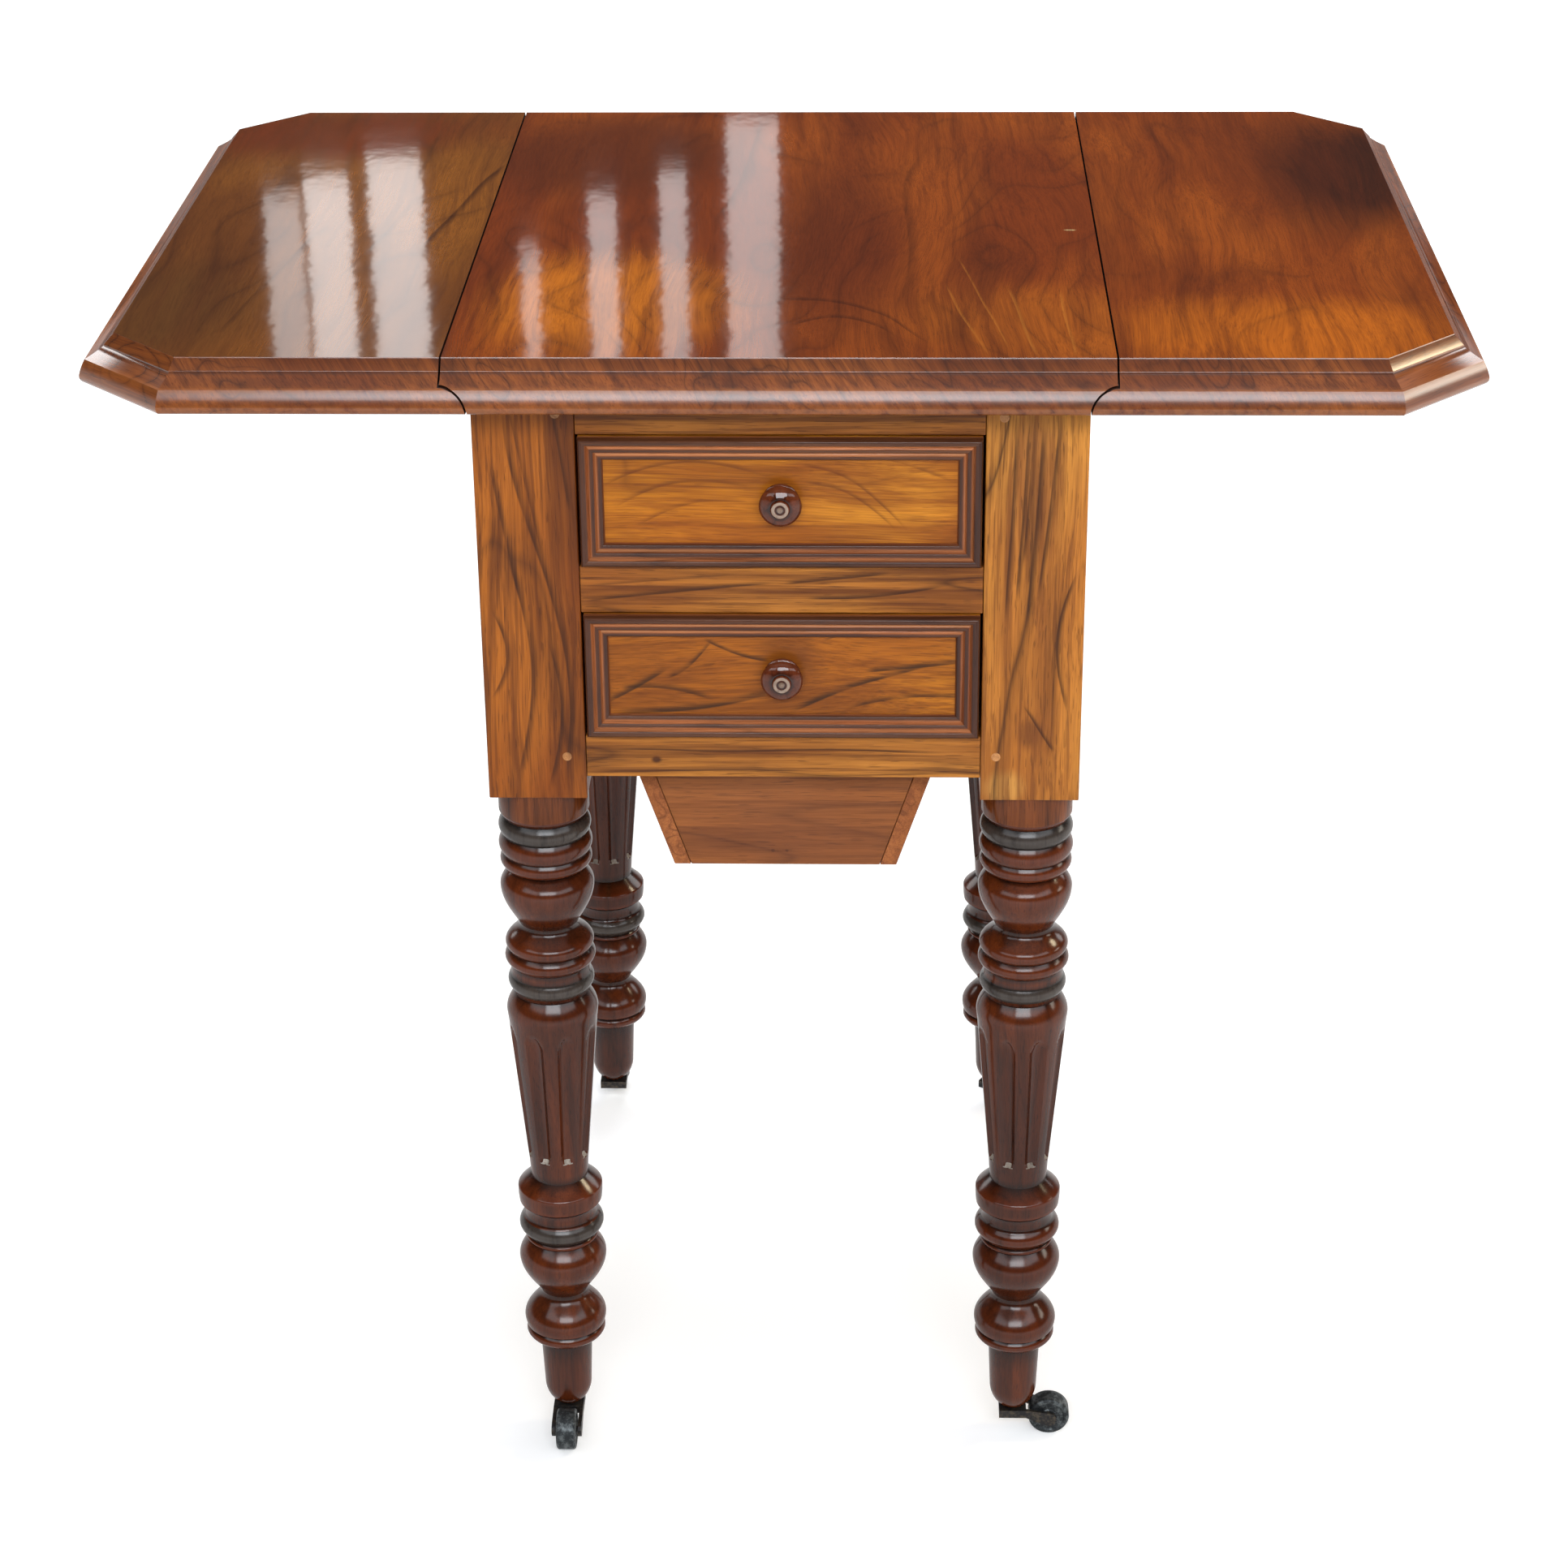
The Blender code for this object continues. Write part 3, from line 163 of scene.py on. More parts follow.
FLUTED_SQUEEZE = 1.6
LEG_SIDES = 112
FLUTE_COUNT = 8
FLUTE_PITCH = 2 * math.pi / FLUTE_COUNT
FLUTE_HALF_ANGLE = math.radians(11.5)
FLUTE_DEPTH = 0.0031
FLUTE_TOP_END = 0.011
FLUTE_FOOT_END = 0.006
FLUTE_TOP_MARGIN = 0.002
FLUTE_FOOT_MARGIN = 0.004
# The notch at the foot of each flute, painted pale as a painted highlight on its end wall: its height,
# spread and taper
NOTCH_HEIGHT = 0.0028
NOTCH_SPREAD = 0.85
NOTCH_TAPER = 0.45
# The rings of the legs that are stained nearly black, as heights
STAINED_RINGS = ((0.4243, 0.4360), (0.3220, 0.3316), (0.1480, 0.1605))
# The plain neck of a leg keeps the colour of its block down to this height
NECK_FOOT = 0.4398
# The leg whose lowest ring has lost its stain
BARE_RING_LEG = "leg_front_right"


# Scene objects
def link(name, data):
    thing = bpy.data.objects.new(name, data)
    bpy.context.scene.collection.objects.link(thing)
    return thing


def make_camera():
    data = bpy.data.cameras.new("camera")
    data.lens = CAMERA_LENS
    data.sensor_fit = "HORIZONTAL"
    data.sensor_width = SENSOR_WIDTH
    turns = ((-CAMERA_YAW, "Z"), (QUARTER - CAMERA_PITCH, "X"), (CAMERA_ROLL, "Z"))
    place = Matrix.Translation(CAMERA_PLACE)
    for angle, axis in turns:
        place = place @ Matrix.Rotation(angle, 4, axis)
    camera = link("camera", data)
    camera.matrix_world = place
    bpy.context.scene.camera = camera


make_camera()


# Colours
def tone(red, green, blue):
    """A colour as it looks on a screen, from 0 to 255, as the linear colour that a shader takes."""
    linear = []
    for value in (red, green, blue):
        share = value / 255
        linear.append(share / 12.92 if share <= 0.04045 else ((share + 0.055) / 1.055) ** 2.4)
    return (*linear, 1.0)


def grey(shade):
    return (shade, shade, shade, 1.0)


# How a vein fades: its sharp side and its soft side in widths, and its two ends in shares of its length
VEIN_SHARP = 0.6
VEIN_SOFT = 2.4
VEIN_FADE_IN = 0.15
VEIN_FADE_OUT = 0.8


# Node trees
class Nodes:
    """A node tree that is filled one node at a time. Each call gives back an output socket."""

    def __init__(self, tree):
        self.tree = tree

    def add(self, kind, inputs, output=0, **settings):
        node = self.tree.nodes.new(kind)
        for name, value in settings.items():
            setattr(node, name, value)
        for key, value in inputs.items():
            self.give(node.inputs[key], value)
        return node.outputs[output]

    def give(self, socket, value):
        if isinstance(value, bpy.types.NodeSocket):
            self.tree.links.new(value, socket)
        else:
            socket.default_value = value

    def math(self, operation, first, second=0.0):
        return self.add("ShaderNodeMath", {0: first, 1: second}, operation=operation)

    def times(self, first, second):
        return self.math("MULTIPLY", first, second)

    def plus(self, first, second):
        return self.math("ADD", first, second)

    def minus(self, first, second):
        return self.math("SUBTRACT", first, second)

    def vector(self, operation, first, second):
        return self.add("ShaderNodeVectorMath", {0: first, 1: second}, operation=operation)

    def length(self, vector):
        return self.add("ShaderNodeVectorMath", {0: vector}, "Value", operation="LENGTH")

    def range(self, value, low, high, new_low=0.0, new_high=1.0):
        values = {0: value, 1: low, 2: high, 3: new_low, 4: new_high}
        return self.add("ShaderNodeMapRange", values, interpolation_type="SMOOTHSTEP")

    def ramp(self, value, stops):
        node = self.tree.nodes.new("ShaderNodeValToRGB")
        elements = node.color_ramp.elements
        while len(elements) < len(stops):
            elements.new(0.5)
        for element, (position, shade) in zip(elements, stops):
            element.position = position
            element.color = grey(shade)
        self.give(node.inputs[0], value)
        return node.outputs[0]


class Paint(Nodes):
    """A material, by its own nodes."""

    def __init__(self, name):
        self.material = bpy.data.materials.new(name)
        self.material.use_nodes = True
        super().__init__(self.material.node_tree)
        self.shader = self.tree.nodes["Principled BSDF"]
        self.place = self.add("ShaderNodeTexCoord", {}, "Object")

    def noise(self, place, along, across, detail, roughness, output="Fac"):
        """Noise with a scale along X and another one across it, in features per metre."""
        stretched = self.vector("MULTIPLY", place, (along, across, across))
        values = {"Vector": stretched, "Scale": 1.0, "Detail": detail, "Roughness": roughness}
        return self.add("ShaderNodeTexNoise", values, output)

    def mix(self, factor, first, second, blend="MIX"):
        values = {0: factor, 6: first, 7: second}
        return self.add("ShaderNodeMix", values, 2, data_type="RGBA", blend_type=blend)

    def set(self, **values):
        for name, value in values.items():
            self.give(self.shader.inputs[name.replace("_", " ")], value)

    def attribute(self, name):
        return self.add("ShaderNodeAttribute", {}, "Fac", attribute_name=name)

    def vein(self, place, vein):
        """How much of a vein shows: a line that leans and sways, with a sharp side and a soft one."""
        parts = self.tree.nodes.new("ShaderNodeSeparateXYZ")
        self.give(parts.inputs[0], place)
        along, across = (parts.outputs[axis.upper()] for axis in vein["direction"])
        share = self.math("DIVIDE", self.minus(along, vein["start"]), vein["end"] - vein["start"])
        angle = self.times(share, 2 * math.pi * vein["waves"])
        middle = self.times(self.math("SINE", angle), vein["sway"])
        middle = self.plus(middle, self.times(share, vein["lean"]))
        off = self.minus(self.minus(across, vein["at"]), middle)
        sharp = self.range(off, -VEIN_SHARP * vein["width"], 0.0)
        soft = self.range(off, 0.0, VEIN_SOFT * vein["width"], 1.0, 0.0)
        fade_out = self.range(share, VEIN_FADE_OUT, 1.0, 1.0, 0.0)
        ends = self.times(self.range(share, 0.0, VEIN_FADE_IN), fade_out)
        return self.times(self.times(self.times(sharp, soft), ends), vein["strength"])

    def bump(self, height, strength, distance):
        values = {"Strength": strength, "Distance": distance, "Height": height}
        return self.add("ShaderNodeBump", values)


def vein(direction, start, end, at, **looks):
    """A streak along the first axis of a direction, placed on the second one."""
    usual = dict(lean=0.0, sway=0.0, waves=0.5, width=0.0012, strength=0.75, colour=None)
    return dict(usual, direction=direction, start=start, end=end, at=at, **looks)


SLANT = math.radians(30)
# The turn that takes each grain direction to X
GRAIN_TURNS = {
    "x": (0.0, 0.0, 0.0),
    "y": (0.0, 0.0, -QUARTER),
    "z": (0.0, QUARTER, 0.0),
    "rising": (0.0, 0.0, -EIGHTH),
    "falling": (0.0, 0.0, EIGHTH),
    "slanted": (-EIGHTH, 0.0, -QUARTER - SLANT),
}
SEED_STEP = (0.37, 0.71, 0.53)
NOISE_MIDDLE = 0.5
# Noises of the grain: features per metre along and across it, detail and roughness,
# and the range of the noise over which it shows
DRIFT_NOISE = (3.0, 9.0, 2.0, 0.5)
FIELD_DETAIL = (1.5, 0.4)
BAND_DETAIL, BAND_RANGE = (3.0, 0.6), (0.42, 0.68)
BANDS_ACROSS = 4.0
PRESENCE_NOISE, PRESENCE_RANGE = (4.0, 22.0, 1.0, 0.5), (0.36, 0.60)
RIBBON_NOISE, RIBBON_RANGE = (5.0, 170.0, 3.0, 0.6), (0.45, 0.72)
HAIR_NOISE, HAIR_RANGE = (9.0, 430.0, 2.0, 0.6), (0.50, 0.62)
FIBRE_NOISE, FIBRE_RANGE = (28.0, 1300.0, 2.0, 0.6), (0.35, 0.7)
PORE_NOISE, PORE_RANGE = (75.0, 1700.0, 0.0, 0.5), (0.66, 0.74)
CLOUD_NOISE, CLOUD_RANGE = (4.0, 15.0, 2.0, 0.5), (0.36, 0.64)
SMUDGE_NOISE, SMUDGE_RANGE = (22.0, 22.0, 3.0, 0.6), (0.3, 0.7)
RIPPLE_NOISE = (55.0, 35.0, 2.0, 0.5)
RING_STOPS = ((0.0, 1.0), (0.07, 0.35), (0.30, 0.0), (0.72, 0.08), (0.92, 0.45), (1.0, 1.0))
PATCH_RAGGED = 0.35
PATCH_CORE = 0.35
# The ribbons break a vein up: their range, and how much of the vein shows over it
VEIN_BREAKS = (0.30, 0.52, 0.45, 1.0)
FIBRE_TINT = (0.45, 0.40, 0.38, 1.0)
# How far the hollows take their darker colour, which is dirt and painted shade
GRIME_AND_SHADE_SHARE = 0.8
# How the crests take their paler colour, which is wear and a painted highlight
WEAR_AND_SHEEN_RANGE = (0.3, 0.6)
WEAR_AND_SHEEN_SHARE = 0.55
SMUDGE_STEP = 0.06
FIBRE_ROUGHNESS = 0.08
FIBRE_HEIGHT = 0.5
STREAK_DEPTH = 0.3
GRAIN_RELIEF = 0.0003
RIPPLE_RELIEF = 0.002


def wood(
    name, light, middle, dark, streak, axis="x", seed=0.0, rings=8.0, along=2.2, across=14.0, warp=0.02,
    streaks=0.8, bands=0.5, ribbons=0.5, hairs=0.35, fibre=0.35, pores=0.4, roughness=0.4, coat=0.3,
    coat_roughness=0.15, coat_ior=1.5, specular=0.4, relief=0.25, ripple=0.0, patches=(), veins=(),
    worn_and_sheen=None, grime_and_shade=None,
):
    """Polished wood with its grain along an axis, in features per metre along and across the grain."""
    paint = Paint(name)
    light, middle, dark, streak = (tone(*colour) for colour in (light, middle, dark, streak))
    shift = [seed * step for step in SEED_STEP]
    turn = {"Vector": paint.place, "Location": shift, "Rotation": GRAIN_TURNS[axis]}
    grain = paint.add("ShaderNodeMapping", turn)
    drift = paint.noise(grain, *DRIFT_NOISE, "Color")
    drift = paint.vector("SUBTRACT", drift, (NOISE_MIDDLE, NOISE_MIDDLE, NOISE_MIDDLE))
    drift = paint.vector("MULTIPLY", drift, (warp / 2, warp, warp))
    bent = paint.vector("ADD", grain, drift)
    field = paint.noise(bent, along, across, *FIELD_DETAIL)
    lines = paint.ramp(paint.math("FRACT", paint.times(field, rings)), RING_STOPS)
    presence = paint.range(paint.noise(bent, *PRESENCE_NOISE), *PRESENCE_RANGE)
    darkness = paint.times(paint.times(lines, presence), streaks)
    band = paint.noise(bent, along, across * BANDS_ACROSS, *BAND_DETAIL)
    ribbon = paint.noise(bent, *RIBBON_NOISE)
    hair = paint.noise(bent, *HAIR_NOISE)
    fibres = paint.noise(bent, *FIBRE_NOISE)
    pore = paint.range(paint.noise(bent, *PORE_NOISE), *PORE_RANGE)
    cloud = paint.range(paint.noise(bent, *CLOUD_NOISE), *CLOUD_RANGE)
    colour = paint.mix(cloud, light, middle)
    wobble = paint.vector("ADD", paint.place, drift)
    ragged = paint.times(paint.minus(paint.plus(band, ribbon), 2 * NOISE_MIDDLE), PATCH_RAGGED)
    for centre, radii, patch_colour, strength in patches:
        offset = paint.vector("DIVIDE", paint.vector("SUBTRACT", wobble, centre), radii)
        share = paint.range(paint.plus(paint.length(offset), ragged), PATCH_CORE, 1.0, strength, 0.0)
        colour = paint.mix(share, colour, tone(*patch_colour))
    darker = ((band, BAND_RANGE, bands), (ribbon, RIBBON_RANGE, ribbons), (hair, HAIR_RANGE, hairs))
    for noise, shown, amount in darker:
        colour = paint.mix(paint.times(paint.range(noise, *shown), amount), colour, dark)
    colour = paint.mix(darkness, colour, streak)
    for line in veins:
        shown = paint.times(paint.vein(wobble, line), paint.range(ribbon, *VEIN_BREAKS))
        colour = paint.mix(shown, colour, tone(*line["colour"]) if line["colour"] else streak)
    fine = paint.times(paint.range(fibres, *FIBRE_RANGE), fibre)
    colour = paint.mix(fine, colour, FIBRE_TINT, "MULTIPLY")
    colour = paint.mix(paint.times(pore, pores), colour, streak)
    # Darker in the hollows: dirt, and painted shade where shade falls in coves, grooves and creases
    if grime_and_shade:
        colour = paint.mix(paint.times(paint.attribute("hollow_grime_and_shade"), GRIME_AND_SHADE_SHARE), colour, tone(*grime_and_shade))
    # Paler on the crests: wear, and a painted highlight along the crests
    if worn_and_sheen:
        rubbed_and_sheen = paint.times(paint.attribute("wear_and_sheen"), paint.range(ribbon, *WEAR_AND_SHEEN_RANGE))
        colour = paint.mix(paint.times(rubbed_and_sheen, WEAR_AND_SHEEN_SHARE), colour, tone(*worn_and_sheen))
    smudge = paint.noise(paint.place, *SMUDGE_NOISE)
    rough = paint.range(smudge, *SMUDGE_RANGE, roughness - SMUDGE_STEP, roughness + SMUDGE_STEP)
    rough = paint.plus(rough, paint.times(fibres, FIBRE_ROUGHNESS))
    height = paint.minus(paint.times(fibres, FIBRE_HEIGHT), pore)
    height = paint.minus(height, paint.times(darkness, STREAK_DEPTH))
    paint.set(Base_Color=colour, Roughness=rough, Coat_Weight=coat, Coat_Roughness=coat_roughness)
    paint.set(Coat_IOR=coat_ior, Specular_IOR_Level=specular)
    paint.set(Normal=paint.bump(height, relief, GRAIN_RELIEF))
    if ripple:
        waves = paint.noise(paint.place, *RIPPLE_NOISE)
        paint.set(Coat_Normal=paint.bump(waves, ripple, RIPPLE_RELIEF))
    return paint.material


RUB_NOISE, RUB_RANGE = (280.0, 280.0, 5.0, 0.7), (0.42, 0.66)
GRIT_NOISE, GRIT_RANGE = (1400.0, 1400.0, 2.0, 0.6), (0.5, 0.75)
PIT_COLOUR = grey(0.02)
GRIT_HEIGHT = 0.6
# The skin is rougher, and the bare places smoother, than the iron as a whole
SKIN_RANGE, SKIN_ROUGHER, BARE_SMOOTHER = (0.3, 0.7), 0.12, 0.08
IRON_METALLIC = 0.75
IRON_BUMP = (0.35, 0.0004)


def iron(name, base, bare, roughness, pitting):
    """Old cast iron: a dark skin, rubbed bare and smoother in places, with fine pitting."""
    paint = Paint(name)
    rub = paint.noise(paint.place, *RUB_NOISE)
    grit = paint.noise(paint.place, *GRIT_NOISE)
    colour = paint.mix(paint.range(rub, *RUB_RANGE), tone(*base), tone(*bare))
    colour = paint.mix(paint.range(grit, *GRIT_RANGE, 0.0, pitting), colour, PIT_COLOUR)
    rough = paint.range(rub, *SKIN_RANGE, roughness + SKIN_ROUGHER, roughness - BARE_SMOOTHER)
    height = paint.plus(rub, paint.times(grit, GRIT_HEIGHT))
    paint.set(Base_Color=colour, Roughness=rough, Metallic=IRON_METALLIC)
    paint.set(Normal=paint.bump(height, *IRON_BUMP))
    return paint.material


# Case woods, golden brown with dark streaks
CASE_LIGHT = (180, 105, 33)
CASE_MIDDLE = (140, 70, 18)
CASE_DARK = (88, 42, 13)
CASE_STREAK = (44, 20, 8)


def case_wood(name, axis, seed, **changes):
    looks = dict(light=CASE_LIGHT, middle=CASE_MIDDLE, dark=CASE_DARK, streak=CASE_STREAK)
    looks.update(hairs=0.5, roughness=0.42, coat=0.12, coat_roughness=0.2, specular=0.12)
    looks.update(changes)
    return wood(name, axis=axis, seed=seed, **looks)


STILE_LEFT = case_wood(
    "stile_left", "z", 3.0, light=(172, 97, 29), middle=(132, 64, 15), rings=9.0, along=2.6,
    across=13.0, warp=0.03, streaks=0.5, bands=0.75, ribbons=0.7,
    veins=(
        vein("zx", 0.46, 0.702, -0.127, lean=-0.015, sway=0.01, waves=0.8, width=0.0018),
        vein("zx", 0.462, 0.612, -0.153, sway=0.012, width=0.0018),
        vein("zx", 0.515, 0.573, -0.164, lean=0.002, sway=0.009, width=0.0015),
        vein("zx", 0.575, 0.67, -0.145, lean=-0.016, width=0.0016, strength=0.6),
        vein("zx", 0.63, 0.692, -0.116, lean=-0.009, strength=0.6),
        vein("zx", 0.46, 0.56, -0.136, lean=0.003, sway=0.008, width=0.0014, strength=0.65),
        vein("zx", 0.6, 0.7, -0.132, lean=-0.017, strength=0.5),
    ),
)
STILE_RIGHT = case_wood(
    "stile_right", "z", 7.4, rings=10.0, across=16.0, warp=0.03, light=(212, 142, 58),
    middle=(180, 108, 40), dark=(112, 60, 24), bands=0.6, ribbons=0.65,
    patches=(
        ((0.137, FRONT_Y, 0.655), (0.018, 0.03, 0.06), (140, 82, 38), 0.7),
        ((0.124, FRONT_Y, 0.466), (0.016, 0.03, 0.014), (206, 146, 70), 0.8),
        ((0.138, FRONT_Y, 0.5), (0.01, 0.03, 0.014), (112, 62, 24), 0.8),
    ),
    veins=(
        vein("zx", 0.566, 0.694, 0.122, lean=0.005),
        vein("zx", 0.577, 0.694, 0.128, lean=0.006, width=0.0014),
        vein("zx", 0.56, 0.694, 0.134, lean=0.008, width=0.0016),
        vein("zx", 0.582, 0.694, 0.14, lean=0.011, width=0.0014),
        vein("zx", 0.6, 0.69, 0.131, lean=0.006, width=0.001),
        vein("zx", 0.51, 0.604, 0.159, lean=0.005, sway=-0.01),
        vein("zx", 0.488, 0.518, 0.152, lean=-0.019),
    ),
)
STILE_BACK = case_wood("stile_back", "z", 12.0, warp=0.03)
RAIL_WOOD = case_wood(
    "rail", "x", 5.0, light=(192, 123, 48), middle=(152, 86, 29), rings=11.0, along=2.0, across=30.0,
    warp=0.012, bands=0.6, ribbons=0.75,
    veins=(
        vein("xz", -0.112, 0.004, 0.5815, lean=0.0125),
        vein("xz", 0.0, 0.062, 0.5925, lean=0.007),
        vein("xz", 0.01, 0.096, 0.584, lean=0.009, sway=-0.003),
        vein("xz", -0.11, -0.02, 0.59, lean=0.008, width=0.0008, strength=0.5),
        vein("xz", -0.112, 0.106, 0.4885, sway=0.0006, waves=2.0, width=0.0008),
        vein("xz", -0.112, 0.02, 0.4755, lean=0.001, width=0.0008, strength=0.6),
        vein("xz", -0.01, 0.1, 0.472, lean=0.003, width=0.0008, strength=0.6),
        vein("xz", -0.09, 0.08, 0.694, sway=0.001, waves=1.5, width=0.0008, strength=0.6),
    ),
    patches=[((-0.073, FRONT_Y, 0.483), (0.004, 0.02, 0.003), CASE_STREAK, 0.9)],
)
SIDE_WOOD = case_wood("side_panel", "y", 9.0, rings=12.0, along=1.8, across=11.0, warp=0.03)
BACK_WOOD = case_wood("back_panel", "x", 15.0, rings=12.0, along=1.8, across=11.0, warp=0.03)
FIELD_LOOKS = dict(rings=9.0, bands=0.7, ribbons=0.55, fibre=0.5, pores=0.3)
DRAWER_UPPER = case_wood(
    "drawer_field_upper", "x", 2.2, light=(198, 122, 26), middle=(172, 96, 20), dark=(128, 64, 14),
    streak=(96, 46, 12), along=5.0, across=13.0, warp=0.03, streaks=0.55, **FIELD_LOOKS,
    patches=[((0.055, FRONT_Y, 0.643), (0.06, 0.03, 0.06), (224, 146, 42), 0.8)],
    veins=(
        vein("xz", -0.098, -0.006, 0.644, lean=0.009, sway=0.011, strength=0.6),
        vein("xz", -0.092, -0.014, 0.633, lean=0.013, sway=0.008, strength=0.55),
        vein("xz", -0.08, -0.016, 0.623, lean=0.014, sway=0.006, strength=0.5),
        vein("xz", 0.01, 0.071, 0.66, lean=-0.037, sway=0.01, strength=0.6),
        vein("xz", 0.014, 0.065, 0.649, lean=-0.026, sway=0.008, strength=0.55),
        vein("xz", 0.02, 0.098, 0.667, lean=-0.016, sway=0.006, strength=0.45),
    ),
)
DRAWER_LOWER = case_wood(
    "drawer_field_lower", "x", 8.1, light=(184, 110, 26), middle=(164, 92, 22), dark=(120, 62, 16),
    streak=(52, 30, 12), along=5.5, across=17.0, warp=0.045, streaks=0.7, **FIELD_LOOKS,
    patches=[((0.0, FRONT_Y, 0.538), (0.024, 0.03, 0.024), (112, 58, 18), 0.7)],
    veins=(
        vein("xz", -0.068, -0.042, 0.531, lean=0.02, sway=-0.004, width=0.0015, strength=0.8),
        vein("xz", -0.056, -0.041, 0.561, lean=-0.009, sway=0.003, width=0.0015, strength=0.8),
        vein("xz", -0.048, -0.008, 0.552, lean=-0.015, sway=-0.003, strength=0.85),
        vein("xz", -0.1, -0.066, 0.518, lean=0.018, width=0.0016, strength=0.85),
        vein("xz", -0.098, -0.004, 0.512, lean=0.012, sway=-0.002, width=0.0018, strength=0.9),
        vein("xz", -0.094, -0.04, 0.526, lean=-0.006, sway=0.003, strength=0.7),
        vein("xz", 0.018, 0.064, 0.55, lean=0.009, sway=0.004, width=0.0014, strength=0.8),
        vein("xz", 0.04, 0.102, 0.533, lean=0.008, width=0.0016, strength=0.85),
        vein("xz", 0.0, 0.08, 0.512, lean=0.027, width=0.0018, strength=0.9),
        vein("xz", 0.03, 0.102, 0.512, lean=0.008, sway=0.003, strength=0.7),
    ),
)
PEG_WOOD = wood(
    "peg", (216, 158, 98), (196, 134, 76), (160, 102, 56), (110, 66, 34), axis="y", seed=4.0, coat=0.1,
    specular=0.25,
)

# Top woods, red brown under a high gloss
TOP_DARK = (84, 34, 12)
TOP_STREAK = (46, 18, 8)
HAIR_LINE = (196, 122, 44)
HAIR_LOOKS = dict(width=0.0009, strength=0.35, colour=HAIR_LINE)
TOP_LOOKS = dict(
    axis="y", coat=1.0, coat_roughness=0.05, specular=0.0, ripple=0.02, relief=0.12, hairs=0.15, pores=0.2,
)
TOP_CENTER = wood(
    "top_center_veneer", (146, 70, 19), (120, 51, 14), TOP_DARK, TOP_STREAK, seed=1.0, rings=12.0,
    along=4.0, across=9.0, warp=0.06, streaks=0.35, ribbons=0.45,
    patches=(
        ((-0.095, -0.155, TOP_Z), (0.09, 0.12, 0.05), (190, 106, 24), 0.95),
        ((0.15, -0.19, TOP_Z), (0.11, 0.09, 0.05), (164, 86, 22), 0.75),
        ((0.03, -0.04, TOP_Z), (0.06, 0.24, 0.05), (98, 40, 14), 0.8),
        ((-0.12, 0.14, TOP_Z), (0.11, 0.13, 0.05), (86, 36, 14), 0.8),
        ((0.165, -0.008, TOP_Z), (0.004, 0.0018, 0.05), (196, 168, 118), 0.9),
    ),
    veins=(
        vein("xy", -0.004, 0.086, -0.145, lean=-0.085, sway=0.03, width=0.003, strength=0.5),
        vein("xy", 0.004, 0.068, -0.19, lean=-0.03, sway=0.028, width=0.003, strength=0.5),
        vein("yx", -0.24, -0.12, 0.115, lean=-0.022, **HAIR_LOOKS),
        vein("yx", -0.24, -0.12, 0.142, lean=-0.013, **HAIR_LOOKS),
        vein("yx", -0.24, -0.12, 0.161, lean=-0.007, **HAIR_LOOKS),
        vein("yx", -0.23, -0.06, 0.128, lean=-0.026, width=0.0007, strength=0.3, colour=HAIR_LINE),
        vein("yx", -0.01, 0.23, -0.052, lean=0.024, sway=0.006, width=0.003, strength=0.4),
        vein("yx", -0.18, 0.18, 0.062, lean=0.02, sway=0.006, waves=1.0, width=0.003, strength=0.4),
    ),
    **TOP_LOOKS,
)
TOP_LEFT = wood(
    "leaf_left_veneer", (132, 78, 28), (108, 60, 22), (84, 44, 18), TOP_STREAK, seed=6.0, along=3.0,
    across=9.0, warp=0.05, streaks=0.4, ribbons=0.4,
    patches=(
        ((-0.3, 0.19, TOP_Z), (0.17, 0.08, 0.05), (110, 46, 16), 0.9),
        ((-0.205, 0.04, TOP_Z), (0.04, 0.2, 0.05), (140, 82, 26), 0.7),
        ((-0.35, -0.16, TOP_Z), (0.08, 0.12, 0.05), (84, 52, 22), 0.7),
    ),
    veins=(
        vein("yx", -0.06, 0.13, -0.218, lean=0.04, width=0.0022, strength=0.7),
        vein("yx", -0.12, 0.06, -0.26, lean=0.034, sway=0.004, width=0.0018, strength=0.45),
        vein("yx", -0.21, -0.02, -0.31, lean=0.03, width=0.0018, strength=0.4),
    ),
    **TOP_LOOKS,
)
TOP_RIGHT = wood(
    "leaf_right_veneer", (156, 76, 19), (128, 57, 14), TOP_DARK, TOP_STREAK, seed=9.0, rings=10.0,
    along=3.0, across=8.0, warp=0.06, streaks=0.3, ribbons=0.4,
    patches=(
        ((0.345, 0.11, TOP_Z), (0.075, 0.17, 0.05), (48, 18, 8), 0.95),
        # A painted pool of warm light near the front of the leaf
        ((0.282, -0.205, TOP_Z), (0.15, 0.085, 0.05), (186, 98, 20), 0.9),
    ),
    **TOP_LOOKS,
)


def edge_wood(axis, seed, coat, coat_ior):
    return wood(
        f"edge_{axis}", (140, 74, 27), (112, 54, 19), (74, 32, 12), (44, 18, 9), axis=axis, seed=seed,
        rings=10.0, along=14.0, across=34.0, warp=0.03, streaks=0.65, ribbons=0.6, roughness=0.34,
        coat=coat, coat_roughness=0.2, coat_ior=coat_ior, specular=0.0, worn_and_sheen=(150, 86, 38),
        grime_and_shade=(58, 27, 14),
    )


# The edges of the top by their grain, with the weight and the index of refraction of their coats
EDGE_WOODS = {
    "slanted": edge_wood("slanted", 2.0, coat=0.85, coat_ior=1.5),
    "y": edge_wood("y", 3.0, coat=0.3, coat_ior=1.5),
    "rising": edge_wood("rising", 4.0, coat=1.0, coat_ior=1.75),
    "falling": edge_wood("falling", 5.0, coat=1.0, coat_ior=1.75),
}
UNDER_WOOD = wood(
    "underside", (122, 72, 36), (100, 56, 28), (80, 44, 22), (48, 26, 14), axis="y", seed=5.0,
    roughness=0.62, coat=0.0, specular=0.3,
)
